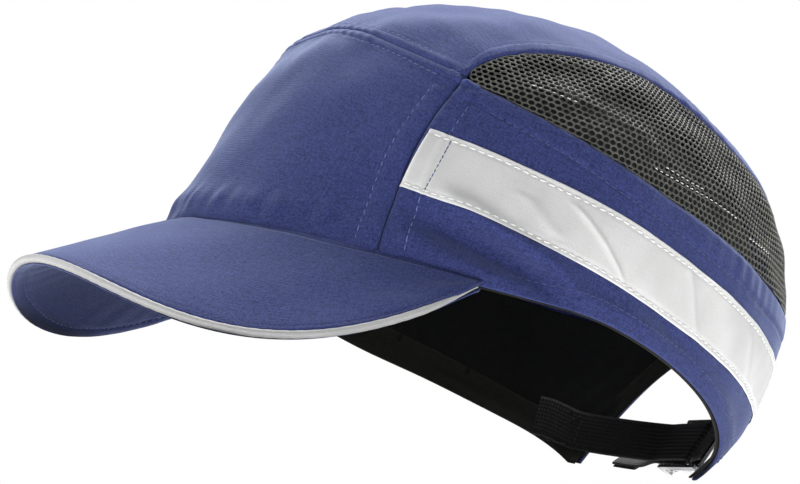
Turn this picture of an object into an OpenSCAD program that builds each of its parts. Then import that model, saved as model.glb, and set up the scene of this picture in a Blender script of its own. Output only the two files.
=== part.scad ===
// Bump cap: a washable fabric cover over a hard shell with foam pads.
// The peak points to -Y, the wearer's left is +X, and z = 0 is the surface it rests on.

/* [Crown] */
// Half the width of the crown at the hem
crown_half_w = 92.2; // [88:0.2:95]
// Length of the crown from its centre to the front of the hem
crown_front = 108.5; // [104:0.5:111]
// Length of the crown from its centre to the back of the hem
crown_back = 100.9; // [98:0.1:103]
// Height of the top of the crown
crown_h = 134.4; // [130:0.2:138]
// How far the crown's highest point sits behind the centre (negative is forward)
apex_y = -3; // [-8:0.5:2]
// Squareness of the crown's outline, 2 is an ellipse
crown_squareness = 1.88; // [1.8:0.02:2.1]

/* [Hem] */
// Height of the hem at the middle of the forehead
hem_front_z = 38; // [36:0.5:40]
// Height of the hem over the ears
hem_ear_z = 32.6; // [31:0.2:34]
// Gap between the rear tabs and the surface the cap rests on
tab_bottom_z = 0.4; // [0.2:0.1:1]
// Height of the arched rear opening
arch_h = 56; // [52:1:58]

/* [Fabric] */
// Thickness of the outer fabric
fabric_t = 1; // [0.8:0.1:1.1]
// Gap left along each sewn seam
seam_gap = 0.5; // [0.4:0.1:0.8]
// Height of the reflective tape
tape_w = 19.9; // [18:0.1:21]

/* [Peak] */
// Half the width of the peak
peak_half_w = 85; // [83:0.5:87]
// Length of the peak's edge curve from its centre to its tip
peak_reach = 97.4; // [94:0.1:100]
// Thickness of the stiff board in the peak
board_t = 1.6; // [1.4:0.1:1.8]
// Radius of the reflective piping round the peak
piping_r = 1.3; // [1.1:0.1:1.4]

/* [Protective insert] */
// Thickness of the hard shell
shell_t = 2.4; // [2:0.1:2.6]
// Distance from the fabric's face to the shell at the front and sides
shell_gap = 6.5; // [6.3:0.1:7]
// Extra distance at the nape
nape_gap = 3.5; // [3.3:0.1:4]
// Thickness of the foam pads
pad_t = 5; // [3:0.5:6]

/* [Strap and buckle] */
// Height of the webbing
strap_h = 17.5; // [16:0.5:17.5]
// Thickness of the webbing
strap_t = 1.4; // [1.2:0.1:1.5]
// Radius of the strap round the nape
strap_r = 64.6; // [64:0.1:65]
// Radius of the buckle's pin
pin_r = 0.9; // [0.8:0.05:1]

/* [Hidden] */
$fn = 48;

// ---- The crown surface: th is the angle round from the front, u climbs from the hem to the top.

// Cubic sides of the crown, as height and lean of the lower handle and length of the upper one
front_handle = [74.3, 0.43, 74.8];
side_handle = [83.4, -0.17, 74.6];
back_handle = [68.3, -0.76, 65.8];
// The crown narrows below this height at the nape
nape_base_z = 12;
nape_start = 80;
nape_fall = 65;
ear_angle = 75;

function ease(t) = (1 - cos(180 * min(max(t, 0), 1))) / 2;
// Height at which the crown's sides start
function base_z(th) =
    abs(th) < nape_start
    ? hem_front_z + (hem_ear_z - hem_front_z) * ease(abs(th) / ear_angle)
    : hem_ear_z + (nape_base_z - hem_ear_z) * ease((abs(th) - nape_start) / nape_fall);
// Height of the cover's edge, which sweeps down from the ears to the rear tabs
function hem_z(th) =
    abs(th) < nape_start
    ? base_z(th)
    : hem_ear_z
        - (hem_ear_z - tab_bottom_z)
            * pow(min((abs(th) - nape_start) / (tab_front_th - nape_start), 1), 1.6);
function flat_power(v) = sign(v) * pow(abs(v), 2 / crown_squareness);
function outline(th) =
    [crown_half_w * flat_power(sin(th)), -(cos(th) > 0 ? crown_front : crown_back) * flat_power(cos(th))];
function handle(th) =
    let (f = pow(max(cos(th), 0), 2), b = pow(max(-cos(th), 0), 2))
    side_handle * (1 - f - b) + front_handle * f + back_handle * b;
function crown(th, u) =
    let (
        side = outline(th) - [0, apex_y],
        reach = norm(side),
        h = handle(th),
        z0 = base_z(th),
        w = 1 - u,
        w0 = w * w * w,
        w1 = 3 * u * w * w,
        w2 = 3 * u * u * w,
        r = w0 * reach + w1 * (reach - h[1] * h[0]) + w2 * h[2],
        z = w0 * z0 + w1 * (z0 + h[0]) + (w2 + u * u * u) * crown_h
    )
    [side[0] / reach * r, apex_y + side[1] / reach * r, z];

probe = 0.01;
function unit(v) = v / norm(v);
function crown_normal(th, u) =
    u > 0.985
    ? [0, 0, 1]
    : unit(cross(crown(th + 1, u) - crown(th - 1, u), crown(th, u + probe) - crown(th, u - probe)));
function crown_at(th, u, off) = crown(th, u) + off * crown_normal(th, u);

// The u at which the side of the crown reaches height z
function u_at(th, z, lo = -0.12, hi = 0.5, n = 14) =
    n == 0
    ? (lo + hi) / 2
    : crown(th, (lo + hi) / 2)[2] < z
        ? u_at(th, z, (lo + hi) / 2, hi, n - 1)
        : u_at(th, z, lo, (lo + hi) / 2, n - 1);
// The u at which the side of the crown crosses the plane z = p[0] + p[1] |x| + p[2] y
function above_plane(p, q) = q[2] - p[0] - p[1] * abs(q[0]) - p[2] * q[1];
function u_on(th, p, lo = -0.12, hi = 0.5, n = 14) =
    n == 0
    ? (lo + hi) / 2
    : above_plane(p, crown(th, (lo + hi) / 2)) < 0
        ? u_on(th, p, (lo + hi) / 2, hi, n - 1)
        : u_on(th, p, lo, (lo + hi) / 2, n - 1);

// ---- Seams, as angles and u values on the crown

corner_th = 54.6;
corner_u = 0.345;
seam_foot_th = 47;
top_seam_u = 0.5;
mesh_rear_th = 157;
mesh_plane = [91.9, -0.152, -0.259];
tape_plane = [42.9, 0, -0.215];
tab_front_th = 153;
tab_rear_th = 155.6;
strip_foot_th = 163;
arch_half_th = 180 - tab_rear_th;

function hem_u(th) = abs(th) < nape_start ? 0 : u_at(th, hem_z(th));
function side_seam(u) = seam_foot_th + (corner_th - seam_foot_th) * pow(max(u, 0) / corner_u, 2);
function top_seam(th) =
    corner_u + (top_seam_u - corner_u) * pow(max(cos(90 * th / corner_th), 0), 1.12);
function mesh_top(th) =
    let (
        mid = (corner_th + mesh_rear_th) / 2,
        t = (th - mid) / (mesh_rear_th - mid),
        crest = 0.5 - 0.0008 * (th - 65)
    )
    corner_u + (crest - corner_u) * sqrt(max(1 - pow(t, 4), 0));
function mesh_bottom(th) = u_on(th, mesh_plane);
function arch_z(th) =
    tab_bottom_z + (arch_h - tab_bottom_z) * sqrt(max(1 - pow((180 - th) / arch_half_th, 2), 0));

// ---- Sheets: a closed skin between two offsets of a surface, over a grid of s and t

function range(n) = [for (i = [0:n]) i / n];
function flip(points) = [for (p = points) [-p[0], p[1], p[2]]];
module grid_solid(top, bottom, ns, nt, turned) {
    row = nt + 1;
    base = len(top);
    function quad(a, b, c, d) = [[a, b, c], [a, c, d]];
    faces = [
        for (i = [0:ns - 1], j = [0:nt - 1])
            let (a = i * row + j, b = a + row)
            each concat(
                quad(a, b, b + 1, a + 1),
                quad(base + a, base + a + 1, base + b + 1, base + b)
            ),
        for (i = [0:ns - 1])
            let (a = i * row, b = a + row, c = a + nt, d = b + nt)
            each concat(quad(a, base + a, base + b, b), quad(c, d, base + d, base + c)),
        for (j = [0:nt - 1])
            let (a = j, c = ns * row + j)
            each concat(
                quad(a, a + 1, base + a + 1, base + a),
                quad(c, base + c, base + c + 1, c + 1)
            )
    ];
    polyhedron(
        points = concat(top, bottom),
        faces = turned ? [for (f = faces) [f[2], f[1], f[0]]] : faces
    );
}
// where maps [s, t] to [th, u] on the crown
module crown_sheet(where, ns, nt, outer, inner, mirrored = false) {
    grid = [for (s = range(ns), t = range(nt)) where(s, t)];
    function skin(off) =
        let (points = [for (g = grid) crown_at(g[0], g[1], off)])
        mirrored ? flip(points) : points;
    grid_solid(skin(outer), skin(inner), ns, nt, !mirrored);
}
// A cap over the top: rim maps an angle to [th, u] on its edge, off(th) is its outer offset,
// and vents are [first row, last row, spacing] of slots left open in its grid
module crown_dome(rim, na, nu, off, thick, vents = [1, 0, 1]) {
    ring = [for (i = [0:na - 1]) rim(-180 + 360 * i / na)];
    function level(off2, j) = [
        for (g = ring) crown_at(g[0], g[1] + (0.97 - g[1]) * j / nu, off2(g[0]))
    ];
    outer = [for (j = [0:nu]) each level(off, j)];
    inner = [for (j = [0:nu]) each level(function (th) off(th) - thick, j)];
    tip = crown(0, 1);
    count = (nu + 1) * na;
    points = concat(
        outer, inner, [tip + [0, 0, off(180)]], [tip + [0, 0, off(180) - thick]]
    );
    function open(i, j) = i % vents[2] == vents[2] / 2 && j >= vents[0] && j <= vents[1];
    function wall(p, q) = [[p, q, count + q], [p, count + q, count + p]];
    faces = [
        for (i = [0:na - 1])
            let (n = (i + 1) % na, last = nu * na)
            each concat(
                [
                    for (j = [0:nu - 1])
                        let (a = j * na + i, b = j * na + n)
                        if (!open(i, j)) each [[a, a + na, b + na], [a, b + na, b]]
                ],
                [
                    for (j = [0:nu - 1])
                        let (a = count + j * na + i, b = count + j * na + n)
                        if (!open(i, j)) each [[a, b + na, a + na], [a, b, b + na]]
                ],
                [
                    for (j = [0:nu - 1])
                        let (a = j * na + i, b = j * na + n, c = b + na, d = a + na)
                        if (open(i, j)) each concat(
                            wall(a, d),
                            wall(c, b),
                            j == vents[1] ? wall(d, c) : [],
                            j == vents[0] ? wall(b, a) : []
                        )
                ],
                [[last + i, 2 * count, last + n]],
                [[count + last + i, count + last + n, 2 * count + 1]],
                [[i, n, count + n], [i, count + n, count + i]]
            )
    ];
    polyhedron(points = points, faces = faces);
}
function mix(a, b, t) = a + (b - a) * t;

// ---- Colours

blue = [0.11, 0.16, 0.42];
silver_tape = [0.82, 0.82, 0.80];
charcoal = [0.16, 0.16, 0.15];
black = [0.05, 0.05, 0.06];
foam = [0.10, 0.10, 0.11];
metal = [0.80, 0.80, 0.82];

// ---- Protective insert

shell_front_z = 62;
shell_side_z = 60;
shell_rear_z = 74;
function shell_off(th) = -shell_gap - nape_gap * pow(max(-cos(th), 0), 2);
function shell_rim(th) =
    let (
        b = pow(max(-cos(th), 0), 2),
        f = pow(max(cos(th), 0), 2),
        z = shell_side_z * (1 - f - b) + shell_front_z * f + shell_rear_z * b
    )
    [th, u_at(th, z)];
module hard_shell()
    color(black)
    crown_dome(function (a) shell_rim(a), 72, 10, function (th) shell_off(th), shell_t, [3, 6, 6]);

// A foam pad under the shell, between two angles and two heights up the crown
pad_gap = 0.4;
module pad(th0, th1, u0, u1, ns = 10, nt = 6)
    color(foam)
    crown_sheet(
        function (s, t)
            let (side = 2 * s - 1, round_end = 1 - 0.25 * pow(abs(2 * t - 1), 3))
            [(th0 + th1) / 2 + (th1 - th0) / 2 * side * round_end, mix(u0, u1, t)],
        ns, nt,
        shell_off((th0 + th1) / 2) - shell_t - pad_gap - 1.2,
        shell_off((th0 + th1) / 2) - shell_t - pad_gap - 1.2 - pad_t
    );
module front_pad() pad(-38, 38, 0.17, 0.4);
module rear_pad() pad(150, 210, 0.38, 0.62, 8, 6);
module left_pad() pad(62, 122, 0.2, 0.42);
module right_pad() pad(-122, -62, 0.2, 0.42);
module crown_pad()
    color(foam)
    crown_dome(
        function (a) [a, 0.76],
        32, 2,
        function (th) shell_off(180) - shell_t - pad_gap,
        pad_t
    );

// ---- Cover panels

// Half a seam's gap as a step of angle and of u: a degree is about 1.6 mm, u climbs 130 mm or more
gap_th = seam_gap / 2;
gap_u = seam_gap / 250;

module front_panel()
    color(blue)
    crown_sheet(
        function (s, t)
            let (
                side = 2 * s - 1,
                u = mix(0, top_seam(corner_th * side) - gap_u, t)
            )
            [side * (side_seam(corner_u * t) - gap_th), u],
        18, 9, 0, -fabric_t
    );

// Edge of the strip that runs down the back, from the end of the mesh to the arch
strip_turn = 0.4;
strip_slant = 1.6;
strip_turn_th = mesh_rear_th + strip_slant;
function strip_foot_u() = u_at(strip_foot_th, arch_z(strip_foot_th));
function strip_edge(t) =
    t < strip_turn
    ? let (q = t / strip_turn)
        [mix(mesh_rear_th, strip_turn_th, q), mix(corner_u, mesh_bottom(strip_turn_th), q)]
    : let (q = (t - strip_turn) / (1 - strip_turn))
        [mix(strip_turn_th, strip_foot_th, q), mix(mesh_bottom(strip_turn_th), strip_foot_u(), q)];
// The crown panel's edge, walked round: front seam, mesh, down the strip, then over the arch
strip_walk = 132;
arch_walk = 160;
function crown_rim_half(a) =
    a < strip_walk
    ? let (th = mesh_rear_th * a / strip_walk) [th, (th < corner_th ? top_seam(th) : mesh_top(th)) + gap_u]
    : a < arch_walk
        ? strip_edge((a - strip_walk) / (arch_walk - strip_walk)) + [gap_th, 0]
        : let (th = mix(strip_foot_th, 180, (a - arch_walk) / (180 - arch_walk))) [th, u_at(th, arch_z(th))];
function crown_rim(a) = let (g = crown_rim_half(abs(a))) [a < 0 ? -g[0] : g[0], g[1]];
module crown_panel()
    color(blue)
    crown_dome(function (a) crown_rim(a), 90, 7, function (th) 0, fabric_t);

// Lower edge of the side panel, walked by s: the hem, the tab's end, then the side of the arch
hem_share = 0.82;
tab_share = 0.85;
function side_low(s) =
    s < hem_share ? let (th = mix(seam_foot_th, tab_front_th, s / hem_share)) [th, hem_u(th)]
    : s < tab_share ?
        let (th = mix(tab_front_th, tab_rear_th, (s - hem_share) / (tab_share - hem_share)))
        [th, u_at(th, tab_bottom_z)]
    : let (
        climb = (s - tab_share) / (1 - tab_share) * acos((180 - strip_foot_th) / arch_half_th),
        th = 180 - arch_half_th * cos(climb)
    )
    [th, u_at(th, arch_z(th))];
// Upper edge: under the mesh, then down the strip at the back
rear_turn = 0.88;
function side_high(s) =
    let (th = mix(corner_th, strip_turn_th - gap_th, s / rear_turn))
    s < rear_turn
    ? [th, mesh_bottom(th) - gap_u]
    : strip_edge(mix(strip_turn, 1, (s - rear_turn) / (1 - rear_turn))) - [gap_th, gap_u];
// The front edge follows the side seam, and its pull fades out towards the back
seam_pull = 12;
function side_spot(s, t) =
    let (p = mix(side_low(s), side_high(s), t), first = mix(side_low(0), side_high(0), t))
    [p[0] + (side_seam(first[1]) + gap_th - first[0]) * pow(1 - s, seam_pull), p[1]];
module side_panel(mirrored)
    crown_sheet(function (s, t) side_spot(s, t), 40, 7, 0, -fabric_t, mirrored);
module left_side_panel() color(blue) side_panel(false);
module right_side_panel() color(blue) side_panel(true);

lining_out = -fabric_t - 0.25;
lining_t = 0.5;
module lining(mirrored)
    crown_sheet(
        function (s, t) side_spot(mix(0.03, 0.97, s), mix(0.03, 0.9, t)),
        30, 5, lining_out, lining_out - lining_t, mirrored
    );
module left_lining() color(black) lining(false);
module right_lining() color(black) lining(true);

// The mesh keeps clear of the crown panel's straight-sided edge, most of all at its rear corner
mesh_end_gap = 1.6;
mesh_top_gap = 4 * gap_u;
mesh_corner_gap = 22 * gap_u;
module mesh_panel(mirrored)
    color(charcoal)
    crown_sheet(
        function (s, t)
            let (
                end = mesh_rear_th + strip_slant * (1 - t) - mesh_end_gap,
                th = mix(corner_th + 1, end, s),
                low = mesh_bottom(th) + gap_u,
                high = mesh_top(th) - mesh_top_gap - mesh_corner_gap * pow(s, 8)
            )
            [th, mix(low, max(high, low + 2 * gap_u), t)],
        28, 5, -0.1, -fabric_t, mirrored
    );
module left_mesh_panel() mesh_panel(false);
module right_mesh_panel() mesh_panel(true);

// The tape starts at the side seam and runs back to the arch
tape_lift = 0.2;
tape_t = 0.4;
module reflective_tape(mirrored)
    color(silver_tape)
    crown_sheet(
        function (s, t)
            let (
                foot = u_on(seam_foot_th + 2, tape_plane),
                start = side_seam(foot) + 3.5 * t - 0.5,
                th = mix(start, 157.2, s)
            )
            [th, mix(u_on(th, tape_plane), u_on(th, tape_plane + [tape_w, 0, -0.01]), t)],
        34, 2, tape_lift + tape_t, tape_lift, mirrored
    );
module left_reflective_tape() reflective_tape(false);
module right_reflective_tape() reflective_tape(true);

// ---- Inner trims of the cover

module front_stiffener()
    color(black)
    crown_sheet(
        function (s, t)
            let (side = 2 * s - 1)
            [side * (side_seam(0.2) - 7), mix(0.03, top_seam(42 * side) - 0.035, t)],
        14, 7, lining_out, lining_out - 0.8
    );
module sweatband()
    color(black)
    crown_sheet(
        function (s, t) let (th = 66 * (2 * s - 1)) [th, mix(0.004, 0.115, t)],
        26, 3, -fabric_t - 1.4, -fabric_t - 2.3
    );
module seam_tape(mirrored)
    color(black)
    crown_sheet(
        function (s, t)
            let (u = mix(0.13, 0.318, s))
            [side_seam(u) + mix(-2.4, 0.6, t), u],
        7, 1, lining_out, lining_out - 0.5, mirrored
    );
module left_seam_tape() seam_tape(false);
module right_seam_tape() seam_tape(true);
module front_seam_tape()
    color(black)
    crown_sheet(
        function (s, t)
            let (th = 50 * (2 * s - 1))
            [th, top_seam(th) + mix(-0.022, 0.03, t)],
        20, 1, lining_out - 0.3, lining_out - 0.8
    );

// A narrow binding folded under the hem, from the peak's corner to the rear tab
binding_u = 0.045;
module hem_binding(mirrored)
    color(black)
    crown_sheet(
        function (s, t) let (th = mix(86, 150, s)) [th, hem_u(th) + mix(0.003, binding_u, t)],
        18, 1, lining_out - lining_t - 0.3, lining_out - lining_t - 0.9, mirrored
    );
module left_hem_binding() hem_binding(false);
module right_hem_binding() hem_binding(true);
module arch_binding()
    color(black)
    crown_sheet(
        function (s, t)
            let (
                climb = 180 * mix(0.07, 0.93, s),
                th = 180 - (arch_half_th + 2.8 * t) * cos(climb),
                rise = (arch_h - tab_bottom_z) * sin(climb)
            )
            [th, u_at(th, tab_bottom_z + 3 + rise + 7 * t * sin(climb))],
        28, 1, lining_out - lining_t - 1, lining_out - lining_t - 1.6
    );

// ---- Peak

peak_corner_th = 66.4;
peak_sweep = 101.9;
peak_centre_y = -61;
peak_arch = [21, -60.7, 33.1, 19.9];
peak_root_gap = 0.7;
peak_root_rise = -0.8;
function peak_edge(s) =
    let (a = peak_sweep * (2 * s - 1), c = cos(a))
    [
        peak_half_w * sin(a) * (1 - 0.03 * c * c),
        peak_centre_y - peak_reach * c + 5.4 * c * c,
        peak_arch[0] + peak_arch[1] * c + peak_arch[2] * c * c + peak_arch[3] * c * c * c
    ];
function peak_root(s) =
    let (th = peak_corner_th * (2 * s - 1))
    crown_at(th, 0, peak_root_gap) + [0, 0, peak_root_rise * sin(180 * s)];
peak_bow = 0.4;
function peak_mid(s, t) =
    mix(peak_root(s), peak_edge(s), t) + [0, 0, peak_bow * sin(180 * t) * sin(180 * s)];
function peak_normal(s, t) =
    let (
        s1 = min(s + probe, 0.99), s0 = max(s - probe, 0.01),
        t1 = min(t + probe, 1), t0 = max(t - probe, 0),
        q = min(max(s, 0.01), 0.99)
    )
    unit(cross(peak_mid(s1, t) - peak_mid(s0, t), peak_mid(q, t1) - peak_mid(q, t0)));
function peak_at(s, t, off) = peak_mid(s, t) - off * peak_normal(s, t);
peak_end = 0.03;
module peak_sheet(outer, inner, t0, t1, ns = 30, nt = 5) {
    grid = [for (s = range(ns), t = range(nt)) [mix(peak_end, 1 - peak_end, s), mix(t0, t1, t)]];
    grid_solid(
        [for (g = grid) peak_at(g[0], g[1], outer)],
        [for (g = grid) peak_at(g[0], g[1], inner)],
        ns, nt, false
    );
}
cover_t = 0.7;
cover_gap = 0.2;
// How far the piping's middle stands off the ends of the covers
piping_set = 1.4;
module peak_board() color(black) peak_sheet(board_t / 2, -board_t / 2, 0.05, 0.95);
module peak_top_cover()
    color(blue)
    peak_sheet(board_t / 2 + cover_gap + cover_t, board_t / 2 + cover_gap, 0.01, 0.97);
module peak_under_cover()
    color(blue)
    peak_sheet(-board_t / 2 - cover_gap, -board_t / 2 - cover_gap - cover_t, 0.06, 0.97);
module peak_piping()
    color(silver_tape) {
        ns = 56;
        na = 8;
        rings = [
            for (i = [0:ns])
                let (
                    s = mix(peak_end, 1 - peak_end, i / ns),
                    n = peak_normal(s, 1),
                    along = unit(peak_edge(s + probe) - peak_edge(s - probe)),
                    side = unit(cross(along, n)),
                    away = side * (side * (peak_edge(s) - peak_root(s)) > 0 ? 1 : -1),
                    centre = peak_edge(s) + away * piping_set
                )
                [for (k = [0:na - 1]) centre + piping_r * (cos(360 * k / na) * away + sin(360 * k / na) * n)]
        ];
        points = [for (r = rings) each r];
        faces = [
            for (i = [0:ns - 1], k = [0:na - 1])
                let (a = i * na + k, b = i * na + (k + 1) % na)
                each [[a, a + na, b + na], [a, b + na, b]],
            [for (k = [0:na - 1]) k],
            [for (k = [0:na - 1]) ns * na + na - 1 - k]
        ];
        polyhedron(points = points, faces = faces);
    }

// ---- Strap and buckle: the webbing is a leaning band round a vertical axis behind the nape

strap_centre_y = 32.5;
strap_z = 13.2;
strap_lean = 24;
strap_right = -52;
flat_from = -1;
flat_to = 25;
buckle_at = (flat_from + flat_to) / 2;
flat_r = strap_r * cos((flat_to - flat_from) / 2);
flat_len = 2 * strap_r * sin((flat_to - flat_from) / 2);

// A leaning band of webbing between two angles, counted from the back towards the left
module band(a0, a1, r, h = strap_h, t = strap_t)
    translate([0, strap_centre_y, strap_z])
    rotate([0, 0, 90 - a1])
    rotate_extrude(angle = a1 - a0, $fn = 120)
    translate([r, 0])
    rotate(-strap_lean)
    square([t, h], center = true);
// Local frame of the buckle: x runs left along the strap, y points outwards, z up the webbing
module at_buckle()
    translate([0, strap_centre_y, strap_z])
    rotate([0, 0, -buckle_at])
    translate([0, flat_r, 0])
    rotate([-strap_lean, 0, 0])
    children();
module slab(x0, x1, y0, y1, h) translate([x0, y0, -h / 2]) cube([x1 - x0, y1 - y0, h]);

loop_x = 9;
tie_x = 15.6;
frame_y = 1.8;
bar_r = 0.7;
rail_t = 1.2;
rail_in = strap_h / 2 + 0.5;
pin_x = -10;
pin_y = 5.8;
ear_r = 2;
lever_len = 19;
wrap_in = bar_r + 0.3;

// Webbing folded round an upright bar, open towards side = 1 (left) or -1 (right)
module fold(x, side)
    translate([x, frame_y, 0])
    rotate([0, 0, side > 0 ? -90 : 90])
    rotate_extrude(angle = 180)
    translate([wrap_in + strap_t / 2, 0])
    square([strap_t, strap_h], center = true);
inner_run_y = frame_y - wrap_in - strap_t / 2;
outer_run_y = frame_y + wrap_in + strap_t / 2;

module run(x0, x1, y) slab(x0, x1, y - strap_t / 2, y + strap_t / 2, strap_h);

// One length of webbing: from the right tab, round the buckle's bar, and back to a free end
tail_from = -27;
tail_r = strap_r + 3.2;
module adjusting_strap() color(black) {
    band(strap_right, flat_from, strap_r);
    at_buckle() {
        run(-flat_len / 2, loop_x, inner_run_y);
        fold(loop_x, 1);
        run(-flat_len / 2, loop_x, outer_run_y);
    }
    band(tail_from, flat_from, tail_r);
}

// Short webbing loop that ties the buckle to the inside of the left tab
tie_len = 2.6;
anchor_to = 46;
module buckle_anchor() color(black) {
    at_buckle() {
        fold(tie_x, -1);
        run(tie_x, tie_x + tie_len, outer_run_y);
        run(tie_x, tie_x + tie_len, inner_run_y);
        slab(tie_x + tie_len - 1, tie_x + tie_len, inner_run_y, outer_run_y, strap_h);
    }
    band(flat_to + 2, anchor_to, strap_r);
}

module rail(z)
    translate([0, 0, z])
    difference() {
        union() {
            slab(pin_x - ear_r, tie_x + 1.5, frame_y - 0.8, frame_y + 0.8, rail_t);
            slab(pin_x - ear_r, pin_x + ear_r, frame_y - 0.8, pin_y, rail_t);
            translate([pin_x, pin_y, -rail_t / 2]) cylinder(r = ear_r, h = rail_t);
        }
        translate([pin_x, pin_y, -rail_t]) cylinder(r = pin_r, h = 2 * rail_t);
    }
module upright_bar(x) translate([x, frame_y, -rail_in]) cylinder(r = bar_r, h = 2 * rail_in);
module buckle_frame()
    color(metal)
    at_buckle() {
        rail(rail_in + rail_t / 2);
        rail(-rail_in - rail_t / 2);
        upright_bar(loop_x);
        upright_bar(tie_x);
        slab(pin_x - 1, pin_x + 8, frame_y - 0.4, frame_y + 0.4, 2 * rail_in);
    }
lever_h = 2 * rail_in - 1.2;
module buckle_lever()
    color(metal)
    at_buckle()
    difference() {
        union() {
            slab(pin_x, pin_x + lever_len, pin_y - 0.6, pin_y + 0.6, lever_h);
            translate([pin_x, pin_y, -lever_h / 2]) cylinder(r = 1.5, h = lever_h);
        }
        translate([pin_x, pin_y, -lever_h]) cylinder(r = pin_r + 0.08, h = 2 * lever_h);
    }
module buckle_pin()
    color(metal)
    at_buckle()
    translate([pin_x, pin_y, -rail_in - rail_t])
    cylinder(r = pin_r, h = 2 * (rail_in + rail_t));

hard_shell();
crown_pad();
front_pad();
rear_pad();
left_pad();
right_pad();
front_panel();
crown_panel();
left_side_panel();
right_side_panel();
left_mesh_panel();
right_mesh_panel();
left_reflective_tape();
right_reflective_tape();
front_stiffener();
sweatband();
left_lining();
right_lining();
left_seam_tape();
right_seam_tape();
front_seam_tape();
left_hem_binding();
right_hem_binding();
arch_binding();
peak_top_cover();
peak_board();
peak_under_cover();
peak_piping();
adjusting_strap();
buckle_anchor();
buckle_frame();
buckle_lever();
buckle_pin();
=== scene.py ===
import bpy
import numpy as np
from mathutils import Matrix, Vector


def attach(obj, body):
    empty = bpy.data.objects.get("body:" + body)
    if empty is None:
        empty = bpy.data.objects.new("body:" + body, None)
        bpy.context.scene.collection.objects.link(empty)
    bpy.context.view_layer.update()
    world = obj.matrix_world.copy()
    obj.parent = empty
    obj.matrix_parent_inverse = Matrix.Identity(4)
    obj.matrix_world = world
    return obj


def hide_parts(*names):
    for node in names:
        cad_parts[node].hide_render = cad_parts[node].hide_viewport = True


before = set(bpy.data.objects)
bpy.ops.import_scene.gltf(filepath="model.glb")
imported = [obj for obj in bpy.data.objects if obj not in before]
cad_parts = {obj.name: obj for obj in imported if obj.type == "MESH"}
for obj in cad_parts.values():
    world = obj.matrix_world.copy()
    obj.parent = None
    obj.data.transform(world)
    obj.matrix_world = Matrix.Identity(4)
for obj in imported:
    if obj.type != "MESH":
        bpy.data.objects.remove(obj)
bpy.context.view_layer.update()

MM = 0.001

# ---- The crown's shape, in millimetres and degrees, as the CAD part has it
# th is the angle round from the front, positive on the wearer's left; u climbs from the hem to the top.

CROWN_HALF_W = 92.2
CROWN_FRONT = 108.5
CROWN_BACK = 100.9
CROWN_H = 134.4
APEX_Y = -3.0
SQUARENESS = 1.88
HEM_FRONT_Z = 38.0
HEM_EAR_Z = 32.6
NAPE_BASE_Z = 12.0
TAB_Z = 0.4
NAPE_START = 80.0
NAPE_FALL = 65.0
EAR_ANGLE = 75.0
FRONT_HANDLE = np.array([74.3, 0.43, 74.8])
SIDE_HANDLE = np.array([83.4, -0.17, 74.6])
BACK_HANDLE = np.array([68.3, -0.76, 65.8])
CORNER_TH = 54.6
CORNER_U = 0.345
SEAM_FOOT_TH = 47.0
TOP_SEAM_U = 0.5
MESH_REAR_TH = 157.0
MESH_PLANE = (91.9, -0.152, -0.259)
TAPE_PLANE = (42.9, 0.0, -0.215)
TAPE_W = 19.9
TAB_FRONT_TH = 153.0
TAB_REAR_TH = 155.6
STRIP_FOOT_TH = 163.0
STRIP_TURN_TH = 158.6
ARCH_H = 56.0
ARCH_HALF_TH = 180 - TAB_REAR_TH
FABRIC_T = 1.0

# Millimetres in a degree of th at the sides, and in one u, low and half-way up
DEGREE_MM = 1.62
LOW_U_MM = 245.0
MID_U_MM = 150.0
# Distance of the topstitching from a seam
ROW = 7.0
BROW_ROW = 4.2
# The right side is made as a mirrored copy, or with th negative
SIDES = ((False, "left"), (True, "right"))
SIGNS = ((1, "left"), (-1, "right"))


def ease(t):
    return (1 - np.cos(np.pi * np.clip(t, 0, 1))) / 2


def mix(a, b, t):
    return a + (b - a) * t


def bump(d, width):
    return np.exp(-(d / width) ** 2)


def window(x, start, end, soft):
    return ease((x - start) / soft) * ease((end - x) / soft)


def base_z(th):
    a = np.abs(th)
    front = mix(HEM_FRONT_Z, HEM_EAR_Z, ease(a / EAR_ANGLE))
    back = mix(HEM_EAR_Z, NAPE_BASE_Z, ease((a - NAPE_START) / NAPE_FALL))
    return np.where(a < NAPE_START, front, back)


def hem_z(th):
    a = np.abs(th)
    fall = np.clip((a - NAPE_START) / (TAB_FRONT_TH - NAPE_START), 0, 1) ** 1.6
    return np.where(a < NAPE_START, base_z(a), mix(HEM_EAR_Z, TAB_Z, fall))


def outline(th):
    s, c = np.sin(np.radians(th)), np.cos(np.radians(th))
    power = 2 / SQUARENESS
    x = CROWN_HALF_W * np.sign(s) * np.abs(s) ** power
    y = -np.where(c > 0, CROWN_FRONT, CROWN_BACK) * np.sign(c) * np.abs(c) ** power
    return np.stack([x, y], -1)


def crown(th, u):
    th, u = np.broadcast_arrays(np.asarray(th, float), np.asarray(u, float))
    side = outline(th) - (0, APEX_Y)
    reach = np.linalg.norm(side, axis=-1)
    c = np.cos(np.radians(th))
    f = (np.maximum(c, 0) ** 2)[..., None]
    b = (np.maximum(-c, 0) ** 2)[..., None]
    h = SIDE_HANDLE * (1 - f - b) + FRONT_HANDLE * f + BACK_HANDLE * b
    z0 = base_z(th)
    w = 1 - u
    w0, w1, w2 = w ** 3, 3 * u * w * w, 3 * u * u * w
    r = w0 * reach + w1 * (reach - h[..., 1] * h[..., 0]) + w2 * h[..., 2]
    z = w0 * z0 + w1 * (z0 + h[..., 0]) + (w2 + u ** 3) * CROWN_H
    return np.stack([side[..., 0] / reach * r, APEX_Y + side[..., 1] / reach * r, z], -1)


def unit(v):
    return v / np.maximum(np.linalg.norm(v, axis=-1, keepdims=True), 1e-9)


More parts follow.
